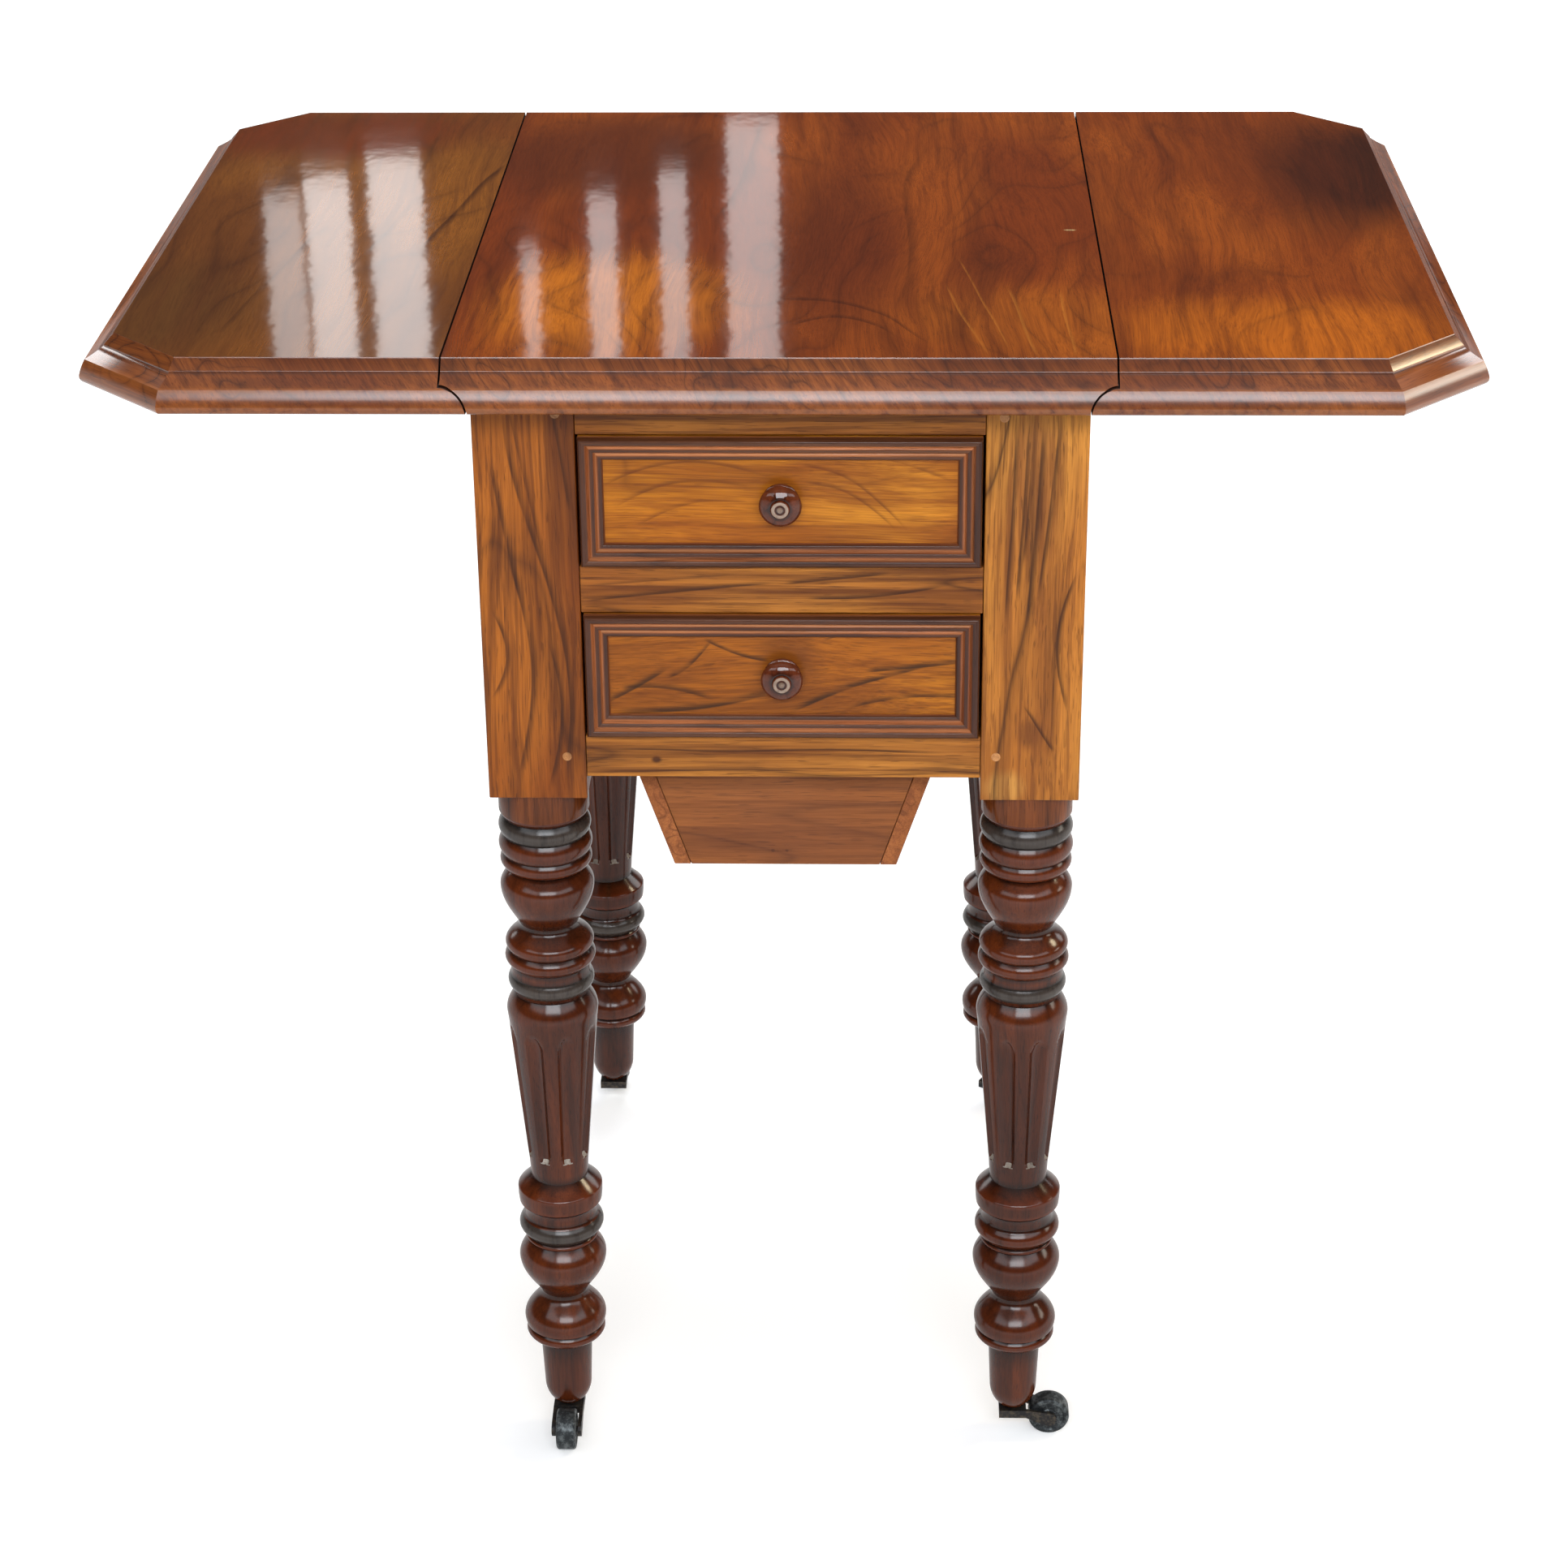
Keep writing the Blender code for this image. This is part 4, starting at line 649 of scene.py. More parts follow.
# The faces of the rule joint, painted far darker than the underside as painted shade in the gap between
# the boards
JOINT_SHADE_WOOD = wood(
    "rule_joint_shade", (58, 28, 15), (46, 22, 12), (34, 16, 9), (20, 9, 6), axis="y", seed=2.6,
    roughness=0.6, coat=0.0, specular=0.2,
)

# Mouldings, legs and knobs
MOULDING_LOOKS = dict(
    light=(158, 90, 50), middle=(130, 70, 40), dark=(94, 47, 28), streak=(50, 23, 14), rings=9.0,
    along=3.0, across=40.0, warp=0.01, streaks=0.6, ribbons=0.6, roughness=0.36, coat=0.4,
    coat_roughness=0.16, specular=0.05, worn_and_sheen=(182, 116, 72), grime_and_shade=(34, 16, 11),
)
# The crosswise mouldings are painted lighter than the upright ones, a painted sheen where light falls on
# their upward reeds
ACROSS_SHEEN_LOOKS = dict(MOULDING_LOOKS, light=(188, 116, 70), middle=(156, 88, 52), worn_and_sheen=(206, 146, 100))
MOULDING_ACROSS_SHEEN = wood("moulding_across_sheen", axis="x", seed=3.0, **ACROSS_SHEEN_LOOKS)
MOULDING_UPRIGHT = wood("moulding_upright", axis="z", seed=6.0, **MOULDING_LOOKS)
LEG_LOOKS = dict(
    axis="z", seed=2.0, rings=9.0, along=3.0, across=24.0, roughness=0.36, coat_roughness=0.17,
    specular=0.0,
)
LEG_WOOD = wood(
    "leg", (96, 43, 16), (68, 28, 10), (44, 18, 8), (22, 9, 5), streaks=0.4, ribbons=0.45, hairs=0.2,
    coat=0.6, worn_and_sheen=(96, 40, 16), grime_and_shade=(18, 8, 5), **LEG_LOOKS,
)
# The pale notch at the foot of a flute, a painted highlight where its end wall faces the light
NOTCH_HIGHLIGHT_WOOD = wood(
    "flute_notch_highlight", (168, 158, 146), (144, 134, 122), (112, 100, 88), (70, 56, 46), axis="z", seed=5.2,
    roughness=0.6, coat=0.0, specular=0.2,
)
NECK_WOOD = wood(
    "leg_neck", (126, 66, 27), (96, 47, 18), (62, 29, 12), (28, 12, 6), ribbons=0.55, coat=0.4,
    grime_and_shade=(24, 11, 6), **LEG_LOOKS,
)
STAINED_WOOD = wood(
    "leg_stained", (66, 56, 49), (52, 44, 39), (40, 33, 30), (20, 16, 14), axis="z", seed=4.0,
    coat=0.6, coat_roughness=0.2, specular=0.0, worn_and_sheen=(76, 68, 62), grime_and_shade=(14, 11, 10),
)
KNOB_LOOKS = dict(
    axis="y", rings=7.0, across=40.0, roughness=0.32, coat=0.7, coat_roughness=0.06, specular=0.0,
)
KNOB_WOOD = wood(
    "knob", (112, 52, 27), (88, 38, 20), (60, 24, 12), (30, 12, 8), seed=3.0, worn_and_sheen=(108, 54, 30),
    grime_and_shade=(20, 9, 7), **KNOB_LOOKS,
)
# The pale ring and dot of the knob's boss, a painted highlight
BOSS_HIGHLIGHT_WOOD = wood(
    "knob_boss_highlight", (160, 136, 118), (140, 116, 98), (112, 88, 72), (70, 50, 40), seed=5.0,
    worn_and_sheen=(172, 150, 132), grime_and_shade=(50, 34, 27), **KNOB_LOOKS,
)

# Plain inner woods and the well
INNER_LOOKS = dict(
    light=(206, 164, 110), middle=(184, 140, 88), dark=(158, 114, 68), streak=(112, 74, 40), rings=12.0,
    across=16.0, streaks=0.45, roughness=0.62, coat=0.0, specular=0.25,
)
INNER_ALONG = wood("inner_along", axis="y", seed=1.5, **INNER_LOOKS)
INNER_ACROSS = wood("inner_across", axis="x", seed=4.5, **INNER_LOOKS)
WELL_LOOKS = dict(
    light=(162, 96, 44), middle=(140, 79, 35), dark=(112, 60, 26), streak=(70, 34, 16), along=1.6,
    across=18.0, warp=0.012, streaks=0.5, ribbons=0.7, roughness=0.58, coat=0.0, specular=0.3,
)
WORMHOLE = (24, 10, 6)
WELL_FRONT_WOOD = wood(
    "well_front", axis="x", seed=2.5,
    patches=(
        ((-0.007, -0.2001, 0.411), (0.0016, 0.02, 0.0014), WORMHOLE, 1.0),
        ((0.0011, -0.2001, 0.411), (0.0014, 0.02, 0.0012), WORMHOLE, 1.0),
    ),
    **WELL_LOOKS,
)
WELL_SIDE_WOOD = wood("well_side", axis="y", seed=5.5, **WELL_LOOKS)
WELL_END_WOOD = wood(
    "well_end_grain", (170, 102, 54), (152, 88, 46), (128, 70, 38), (96, 50, 28), axis="y", seed=3.3,
    across=60.0, roughness=0.66, coat=0.0, specular=0.25,
)

# Metal
YOKE_IRON = iron("caster_yoke_iron", (42, 41, 42), (78, 70, 60), 0.46, 0.4)
WHEEL_IRON = iron("caster_wheel_iron", (46, 49, 51), (96, 101, 102), 0.5, 0.6)
HINGE_IRON = iron("hinge_iron", (58, 54, 50), (104, 94, 82), 0.48, 0.5)


# Meshes
def finish_mesh(shape, name, smooth_deg):
    """Closes up a bmesh into a mesh that is smooth below an angle. None leaves it flat."""
    bmesh.ops.recalc_face_normals(shape, faces=shape.faces)
    mesh = bpy.data.meshes.new(name)
    shape.to_mesh(mesh)
    shape.free()
    if smooth_deg:
        mesh.shade_smooth()
        mesh.set_sharp_from_angle(angle=math.radians(smooth_deg))
    return mesh


def add_piece(name, shape, body, materials, replaced=(), smooth_deg=None, place=None, pick=None):
    """A shown piece that rides on a body and stands for some CAD nodes. Pick gives a face's material."""
    if pick:
        for face in shape.faces:
            face.material_index = materials.index(pick(face))
    mesh = finish_mesh(shape, name, smooth_deg)
    if place:
        mesh.transform(place)
    for material in materials:
        mesh.materials.append(material)
    piece = link(name, mesh)
    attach(piece, body)
    if replaced:
        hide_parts(*replaced)
    return piece


# The span over which a profile is looked at, and the depth and rise that count in full
MARK_SPAN = 0.0025
HOLLOW_DEPTH = 0.0008
CREST_RISE = 0.0006
MERGE_GAP = 1e-6


def clamp(value):
    return min(1.0, max(0.0, value))


def profile_marks(profile):
    """How hollow and how proud each point of a (radius, height) profile is, from 0 to 1."""
    lengths = [0.0]
    for (out, along), (next_out, next_along) in zip(profile, profile[1:]):
        lengths.append(lengths[-1] + math.hypot(next_out - out, next_along - along))

    def at(length):
        length = min(max(length, 0.0), lengths[-1])
        for k in range(len(profile) - 1):
            if lengths[k] <= length <= lengths[k + 1] and lengths[k + 1] > lengths[k]:
                t = (length - lengths[k]) / (lengths[k + 1] - lengths[k])
                return Vector(profile[k]).lerp(Vector(profile[k + 1]), t)
        return Vector(profile[-1])

    marks = []
    for point, length in zip(profile, lengths):
        before, after = at(length - MARK_SPAN), at(length + MARK_SPAN)
        way = after - before
        if way.length < MERGE_GAP:
            marks.append((0.0, 0.0))
            continue
        outward = Vector((-way.y, way.x)).normalized()
        rise = (Vector(point) - (before + after) / 2).dot(outward)
        marks.append((clamp(-rise / HOLLOW_DEPTH), clamp(rise / CREST_RISE)))
    return marks


def marked_shape():
    """An empty shape, with the layers for the values that the woods read."""
    shape = bmesh.new()
    return shape, [shape.verts.layers.float.new(name) for name in ("hollow_grime_and_shade", "wear_and_sheen")]


def set_marks(layers, loops, marks):
    """Keeps each ring's marks on its vertices."""
    for loop, mark in zip(loops, marks):
        for vertex in loop:
            for layer, value in zip(layers, mark):
                vertex[layer] = value


def lathe(profile, sides, dent=None):
    """A profile of (radius, height) points turned round Z. Dent gives how far a point is cut in."""
    shape, layers = marked_shape()
    rings = []
    for radius, height in profile:
        if radius == 0.0:
            rings.append([shape.verts.new((0.0, 0.0, height))])
            continue
        ring = []
        for i in range(sides):
            angle = 2 * math.pi * i / sides
            reach = radius - (dent(height, angle) if dent else 0.0)
            ring.append(shape.verts.new((reach * math.cos(angle), reach * math.sin(angle), height)))
        rings.append(ring)
    for upper, lower in zip(rings, rings[1:]):
        for i in range(sides):
            j = (i + 1) % sides
            corners = [upper[i % len(upper)], upper[j % len(upper)]]
            corners += [lower[j % len(lower)], lower[i % len(lower)]]
            shape.faces.new(dict.fromkeys(corners))
    set_marks(layers, rings, profile_marks(profile))
    return shape


def stack(rings, closed=False, marks=None):
    """Faces between rings of points. The end rings are capped, or the last ring meets the first."""
    shape, layers = marked_shape()
    loops = [[shape.verts.new(point) for point in ring] for ring in rings]
    pairs = list(zip(loops, loops[1:]))
    if closed:
        pairs.append((loops[-1], loops[0]))
    else:
        shape.faces.new(loops[0])
        shape.faces.new(loops[-1])
    for first, second in pairs:
        for i in range(len(first)):
            j = (i + 1) % len(first)
            shape.faces.new((first[i], first[j], second[j], second[i]))
    if marks:
        set_marks(layers, loops, marks)
    return shape


SHARP_ANGLE = math.radians(30)
FLAT_ANGLE = math.radians(1)
EASE = dict(segments=2, profile=0.5, affect="EDGES", clamp_overlap=True)


def ease_edges(shape, width):
    """Rounds the sharp edges of a closed shape."""
    sharp = [edge for edge in shape.edges if edge.is_manifold and edge.calc_face_angle() > SHARP_ANGLE]
    bmesh.ops.bevel(shape, geom=sharp, offset=width, **EASE)


def board(low, high, width):
    """A box between two corners with its edges rounded."""
    shape = bmesh.new()
    bmesh.ops.create_cube(shape, size=1.0)
    size = [top - bottom for bottom, top in zip(low, high)]
    middle = [(top + bottom) / 2 for bottom, top in zip(low, high)]
    bmesh.ops.scale(shape, vec=size, verts=shape.verts)
    bmesh.ops.translate(shape, vec=middle, verts=shape.verts)
    ease_edges(shape, width)
    return shape


# How wide the edges of the pieces are rounded
BLOCK_EASE = 0.0007
RAIL_EASE = 0.0006
PANEL_EASE = 0.0004
BOARD_EASE = 0.0005
THIN_EASE = 0.0003
LOPER_EASE = 0.0008
YOKE_EASE = 0.0011
PIVOT_EASE = 0.0002


def eased_copy(node, width, slot, *materials, pick=None):
    """A copy of a CAD node with its edges rounded, which stands for the node."""
    shape = bmesh.new()
    shape.from_mesh(NODES[node].data)
    bmesh.ops.remove_doubles(shape, verts=shape.verts, dist=MERGE_GAP)
    bmesh.ops.dissolve_limit(shape, angle_limit=FLAT_ANGLE, verts=shape.verts, edges=shape.edges)
    ease_edges(shape, width)
    body = NODES[node]["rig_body"]
    return add_piece(f"{node}_eased", shape, body, materials, (node,), pick=pick)


def smooth_line(points, steps):
    """A smooth line through a few points."""
    line = []
    for i in range(len(points) - 1):
        before = Vector(points[max(i - 1, 0)])
        start, end = Vector(points[i]), Vector(points[i + 1])
        after = Vector(points[min(i + 2, len(points) - 1)])
        for step in range(steps):
            t = step / steps
            bend = 2 * start + (end - before) * t
            bend += (2 * before - 5 * start + 4 * end - after) * t ** 2
            bend += (3 * start - before - 3 * end + after) * t ** 3
            line.append(tuple(bend / 2))
    return line + [tuple(points[-1])]


def arc(centre, radius, start_deg, end_deg, steps):
    """Points along an arc, from one angle to another."""
    angles = [math.radians(start_deg + (end_deg - start_deg) * i / steps) for i in range(steps + 1)]
    return [(centre[0] + radius * math.cos(a), centre[1] + radius * math.sin(a)) for a in angles]


# The turn that lays what is turned round Z along Y
LAID = Matrix.Rotation(QUARTER, 4, "X")


# Legs
def turning_radius(shape, start, end, t, swell=0.0):
    """The radius at a share t of a turning's length."""
    if shape == "bead":
        return start + (end - start) * t + swell * math.sin(math.pi * t)
    if shape == "round_out":
        return start + (end - start) * math.sin(math.pi * t / 2)
    if shape == "round_in":
        return start + (end - start) * (1 - math.cos(math.pi * t / 2))
    if shape == "dome":
        return start * math.sqrt(1 - t * t * (1 - (end / start) ** 2))
    return start + (end - start) * t


def turn_down(points, turnings):
    """Adds the points of some turnings below the last point."""
    for shape, length, end, *swell in turnings:
        start, height = points[-1]
        steps = STRAIGHT_STEPS if shape == "straight" else TURNING_STEPS
        for step in range(1, steps + 1):
            t = step / steps
            points.append((turning_radius(shape, start, end, t, *swell), height - length * t))
    return points


def leg_profile():
    """The leg below its block as (radius, height) points, and the heights where the flutes end."""
    points = turn_down([(NECK_RADIUS, TURNED_HEIGHT)], UPPER_TURNINGS)
    top_radius, flute_top = points[-1]
    length = flute_top - FOOT_HEIGHT - sum(turning[1] for turning in LOWER_TURNINGS)
    for step in range(1, FLUTED_STEPS + 1):
        t = 1 - (1 - step / FLUTED_STEPS) ** FLUTED_SQUEEZE
        points.append((top_radius + (FLUTED_END_RADIUS - top_radius) * t, flute_top - length * t))
    flute_foot = points[-1][1]
    turn_down(points, LOWER_TURNINGS)
    return [(0.0, TURNED_HEIGHT), *points, (0.0, FOOT_HEIGHT)], flute_top, flute_foot


LEG_PROFILE, FLUTE_TOP, FLUTE_FOOT = leg_profile()


def flute_offset(angle):
    """How far an angle lies from the middle of its flute, in half widths of a flute."""
    return abs((angle % FLUTE_PITCH) - FLUTE_PITCH / 2) / FLUTE_HALF_ANGLE


def flute_dent(height, angle):
    """How deep the flutes are cut at a height and an angle, with rounded ends."""
    top, foot = FLUTE_TOP - FLUTE_TOP_MARGIN, FLUTE_FOOT + FLUTE_FOOT_MARGIN
    if not foot < height < top:
        return 0.0
    off = flute_offset(angle)
    end = 0.0
    if height > top - FLUTE_TOP_END:
        end = (height - top + FLUTE_TOP_END) / FLUTE_TOP_END
    elif height < foot + FLUTE_FOOT_END:
        end = (foot + FLUTE_FOOT_END - height) / FLUTE_FOOT_END
    return FLUTE_DEPTH * math.sqrt(max(0.0, 1 - off * off - end * end))


def in_notch(place):
    """Whether a point of the turning lies in the notch at the foot of a flute, which is painted pale as a
    painted highlight.
    """
    rise = (place.z - FLUTE_FOOT - FLUTE_FOOT_MARGIN) / NOTCH_HEIGHT
    if not 0.0 < rise < 1.0:
        return False
    return flute_offset(math.atan2(place.y, place.x)) < NOTCH_SPREAD * (1.0 - NOTCH_TAPER * rise)


TURNING_SMOOTH_DEG = 38
FRONT_STILES = {"left": STILE_LEFT, "right": STILE_RIGHT}
LEG_WOODS = [LEG_WOOD, STAINED_WOOD, NOTCH_HIGHLIGHT_WOOD, NECK_WOOD]


def turned_wood(place, stained):
    """The wood that the turning of a leg shows at a point."""
    if any(low < place.z < high for low, high in stained):
        return STAINED_WOOD
    if in_notch(place):
        return NOTCH_HIGHLIGHT_WOOD
    return NECK_WOOD if place.z > NECK_FOOT else LEG_WOOD


def make_leg(end_name, side_name):
    """A leg as its block and its turning."""
    corner = f"{end_name}_{side_name}"
    node = f"leg_{corner}"
    x, y = SIDES[side_name] * LEG_X, ENDS[end_name] * LEG_Y
    half = LEG_SIZE / 2
    block = board((x - half, y - half, TURNED_HEIGHT), (x + half, y + half, CASE_TOP_Z), BLOCK_EASE)
    stile = FRONT_STILES[side_name] if end_name == "front" else STILE_BACK
    add_piece(f"leg_block_{corner}", block, "frame", [stile], (node,))
    stained = STAINED_RINGS[:-1] if node == BARE_RING_LEG else STAINED_RINGS
    turning = lathe(LEG_PROFILE, LEG_SIDES, flute_dent)
    add_piece(
        f"leg_turning_{corner}", turning, "frame", LEG_WOODS, (node,), TURNING_SMOOTH_DEG,
        Matrix.Translation((x, y, 0.0)), lambda face: turned_wood(face.calc_center_median(), stained),
    )


for corner_names in CORNERS:
    make_leg(*corner_names)


# Rails and panels
for rail in ("front_top_rail", "front_middle_rail", "front_bottom_rail"):
    low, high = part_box(rail)
    low.x, high.x = SEAT_GAP - INNER_X, INNER_X - SEAT_GAP
    add_piece(f"{rail}_board", board(low, high, RAIL_EASE), "frame", [RAIL_WOOD], (rail,))
eased_copy("back_panel", BOARD_EASE, "case_wood", BACK_WOOD)
for side_name in SIDES:
    eased_copy(f"side_panel_{side_name}", PANEL_EASE, "case_wood", SIDE_WOOD)

# Pegs of the rail joints, on the faces of the front legs
PEG_PLACES = ((-0.1225, 0.6912), (0.1219, 0.6893), (-0.1229, 0.4849), (0.1208, 0.4856))
PEG_RADIUS = 0.0026
PEG_DEPTH = 0.0020
# The worn end of a peg as (radius, height) points
PEG_END = ((0.0, 0.0003), (0.00156, 0.00024), (PEG_RADIUS, 0.00012))
PEG_SIDES = 20
PEG_SMOOTH_DEG = 50
peg_profile = [*PEG_END, (PEG_RADIUS, -PEG_DEPTH), (0.0, -PEG_DEPTH)]
for number, (x, z) in enumerate(PEG_PLACES):
    peg = lathe(peg_profile, PEG_SIDES)
    place = Matrix.Translation((x, FRONT_Y, z)) @ LAID
    add_piece(f"peg_front_{number}", peg, "frame", [PEG_WOOD], (), PEG_SMOOTH_DEG, place)

# Top and leaves
# The moulded edge, finer than in the part's source, as distances out and down from the flat top's rim
EDGE_RIM = (0.0003, 0.0008)
EDGE_BAND_FOOT = (0.0050, 0.0056)
EDGE_FILLET = ((0.0053, 0.0060), (0.00545, 0.0064), (0.0055, 0.0069))
EDGE_QUIRK = (0.0060, 0.0071)
EDGE_COVE_FOOT = (0.0159, 0.0131)
EDGE_COVE_BOW = -0.0002
COVE_STEPS = 6
NOSE_BOW = 0.0003
NOSE_RADIUS = 0.0040
NOSE_START_DEG = -13.0
NOSE_STEPS = 12
JOINT_STEPS = 14
# The shown joint is a little wider than the running gap, as worn edges are
JOINT_EASE = 0.0003
TOP_SMOOTH_DEG = 24


def bowed_line(start, end, bow, steps):
    """Points from a start to an end along a line that bows out, or in where the bow is negative."""
    start, end = Vector(start), Vector(end)
    way = end - start
    outward = Vector((way.y, -way.x)).normalized()
    shares = [step / steps for step in range(1, steps + 1)]
    return [tuple(start + way * t + outward * bow * math.sin(math.pi * t)) for t in shares]


def edge_profile():
    """The moulded edge as (out, down) points from the rim of the flat top to the underside."""
    nose = (EDGE_PROJECTION - NOSE_RADIUS, TOP_THICKNESS - NOSE_RADIUS)
    nose_round = arc(nose, NOSE_RADIUS, NOSE_START_DEG, 90.0, NOSE_STEPS)
    points = [(0.0, 0.0), EDGE_RIM, EDGE_BAND_FOOT, *EDGE_FILLET, EDGE_QUIRK]
    points += bowed_line(EDGE_QUIRK, EDGE_COVE_FOOT, EDGE_COVE_BOW, COVE_STEPS)
    points += bowed_line(EDGE_COVE_FOOT, nose_round[0], NOSE_BOW, NOSE_STEPS)
    return points + nose_round[1:]


EDGE = edge_profile()


def at_depth(line, down):
    """Where a line of (place, depth) points is at a depth, or None past its ends."""
    for (place, depth), (next_place, next_depth) in zip(line, line[1:]):
        if depth <= down <= next_depth and next_depth > depth:
            return place + (next_place - place) * (down - depth) / (next_depth - depth)
    return None


def joint_line(face, radius):
    """A rule joint as (X, down) points: a short face, then a quarter round about the hinge line."""
    quarter = arc((JOINT_X, -TOP_THICKNESS), radius, 90.0, 180.0, JOINT_STEPS)
    return [(face, 0.0), (face, TOP_THICKNESS - radius)] + [(x, -z) for x, z in quarter]


CENTER_JOINT = joint_line(JOINT_X - RUNNING_GAP / 2 - JOINT_EASE, RULE_RADIUS + RUNNING_GAP + JOINT_EASE)
LEAF_JOINT = joint_line(JOINT_X + RUNNING_GAP / 2 + JOINT_EASE, RULE_RADIUS - JOINT_EASE)


def levels(joint):
    """Each depth of the edge and of the joint, as (down, edge reach, joint X), from the top down."""
    found = [(down, out, at_depth(joint, down)) for out, down in EDGE]
    found = [level for level in found if level[2] is not None]
    found += [(down, at_depth(EDGE, down), x) for x, down in joint[1:-1]]
    return sorted(found, key=lambda level: level[:2])


def top_ring(side, inner, out, down):
    """The outline of a leaf, or of the centre board where the side is 0, at a level of its edge."""
    y, z = TOP_FLAT_DEPTH / 2, TOP_Z - down
    if not side:
        return [(-inner, -y - out, z), (inner, -y - out, z), (inner, y + out, z), (-inner, y + out, z)]
    slant = out * math.tan(EIGHTH / 2)
    corner_x, corner_y = LEAF_REACH - LEAF_CORNER + slant, y - LEAF_CORNER + slant
    quarter = [(inner, y + out), (corner_x, y + out), (LEAF_REACH + out, corner_y)]
    points = quarter + [(across, -along) for across, along in reversed(quarter)]
    return [(side * across, along, z) for across, along in points]


# How far a normal is level, square to the joint or along an axis
LEVEL_NORMAL = 0.999
SQUARE_NORMAL = 0.02
INNER_NORMAL = 0.5
ALONG_NORMAL = 0.92
TOP_MARGIN = 1e-5
JOINT_MARGIN = 0.002


def top_wood(face, side, veneer):
    """The wood that a face of the top shows: the edges have theirs by their direction."""
    normal, middle = face.normal, face.calc_center_median()
    if normal.z > LEVEL_NORMAL and middle.z > TOP_Z - TOP_MARGIN:
        return veneer
    if normal.z < -LEVEL_NORMAL:
        return UNDER_WOOD
    inward = normal.x * side < INNER_NORMAL and abs(middle.x) < JOINT_X + JOINT_MARGIN
    if abs(normal.y) < SQUARE_NORMAL and (inward or not side):
        return JOINT_SHADE_WOOD
    flat = ALONG_NORMAL * math.hypot(normal.x, normal.y)
    if abs(normal.y) > flat:
        return EDGE_WOODS["slanted"]
    if abs(normal.x) > flat:
        return EDGE_WOODS["y"]
    return EDGE_WOODS["rising" if normal.x * normal.y < 0 else "falling"]


EDGE_MARKS = profile_marks([(out, -down) for out, down in EDGE])


def level_mark(out, down):
    """The mark of the moulding's point nearest to a level."""
    gaps = [math.hypot(out - x, down - y) for x, y in EDGE]
    return EDGE_MARKS[gaps.index(min(gaps))]


def make_top(node, body, joint, side, veneer):
    """A board of the top from its outlines at each level."""
    found = levels(joint)
    marks = [level_mark(out, down) for down, out, inner in found]
    shape = stack([top_ring(side, inner, out, down) for down, out, inner in found], False, marks)
    bmesh.ops.remove_doubles(shape, verts=shape.verts, dist=MERGE_GAP)
    bmesh.ops.recalc_face_normals(shape, faces=shape.faces)
    shape.normal_update()
    woods = [veneer, *EDGE_WOODS.values(), UNDER_WOOD, JOINT_SHADE_WOOD]
    return add_piece(
        f"{node}_board", shape, body, woods, (node,), TOP_SMOOTH_DEG,
        pick=lambda face: top_wood(face, side, veneer),
    )


SEAT_SIDES = 24


def cut_hinge_seats(piece, side):
    """Hollows under a leaf for the knuckles of its hinges."""
    radius, half = HINGE_BARREL_RADIUS + RUNNING_GAP, HINGE_LENGTH / 2 + RUNNING_GAP
    for end in ENDS.values():
        shape = bmesh.new()
        size = dict(radius1=radius, radius2=radius, depth=2 * half)
        bmesh.ops.create_cone(shape, cap_ends=True, segments=SEAT_SIDES, **size)
        place = Matrix.Translation((side * JOINT_X, end * HINGE_Y, TOP_UNDER_Z))
        bmesh.ops.transform(shape, matrix=place @ LAID, verts=shape.verts)
        tool = link("hinge_seat_tool", finish_mesh(shape, "hinge_seat_tool", None))
        modifier = piece.modifiers.new("seat", "BOOLEAN")
        modifier.operation = "DIFFERENCE"
        modifier.object = tool
        graph = bpy.context.evaluated_depsgraph_get()
        cut = bpy.data.meshes.new_from_object(piece.evaluated_get(graph))
        piece.modifiers.clear()
        piece.data = cut
        bpy.data.objects.remove(tool, do_unlink=True)


make_top("top_center", "frame", CENTER_JOINT, 0, TOP_CENTER)
for side_name, side in SIDES.items():
    node = f"leaf_{side_name}"
    veneer = TOP_LEFT if side < 0 else TOP_RIGHT
    leaf = make_top(node, node, LEAF_JOINT, side, veneer)
    cut_hinge_seats(leaf, side)


# Drawers, with the frame's reeds as width, crest height and height of the groove after it
FRAME_EDGE_HEIGHT = 0.0030
FRAME_REEDS = ((0.0050, 0.0052, 0.0026), (0.0042, 0.0038, 0.0014), (0.0043, 0.0024, 0.0))
FRAME_STEPS = 8
REED_FULLNESS = 0.7
FRAME_SMOOTH_DEG = 40


def frame_section():
    """The three reeds of a drawer's frame as (inset, height) points from the outside in."""
    section = [(0.0, 0.0), (0.0, FRAME_EDGE_HEIGHT)]
    for width, crest, groove in FRAME_REEDS:
        start, start_height = section[-1]
        for step in range(1, FRAME_STEPS + 1):
            t = step / FRAME_STEPS
            level = start_height + (groove - start_height) * t
            swell = math.sin(math.pi * t) ** REED_FULLNESS
            section.append((start + width * t, level + (crest - level) * swell))
    return section


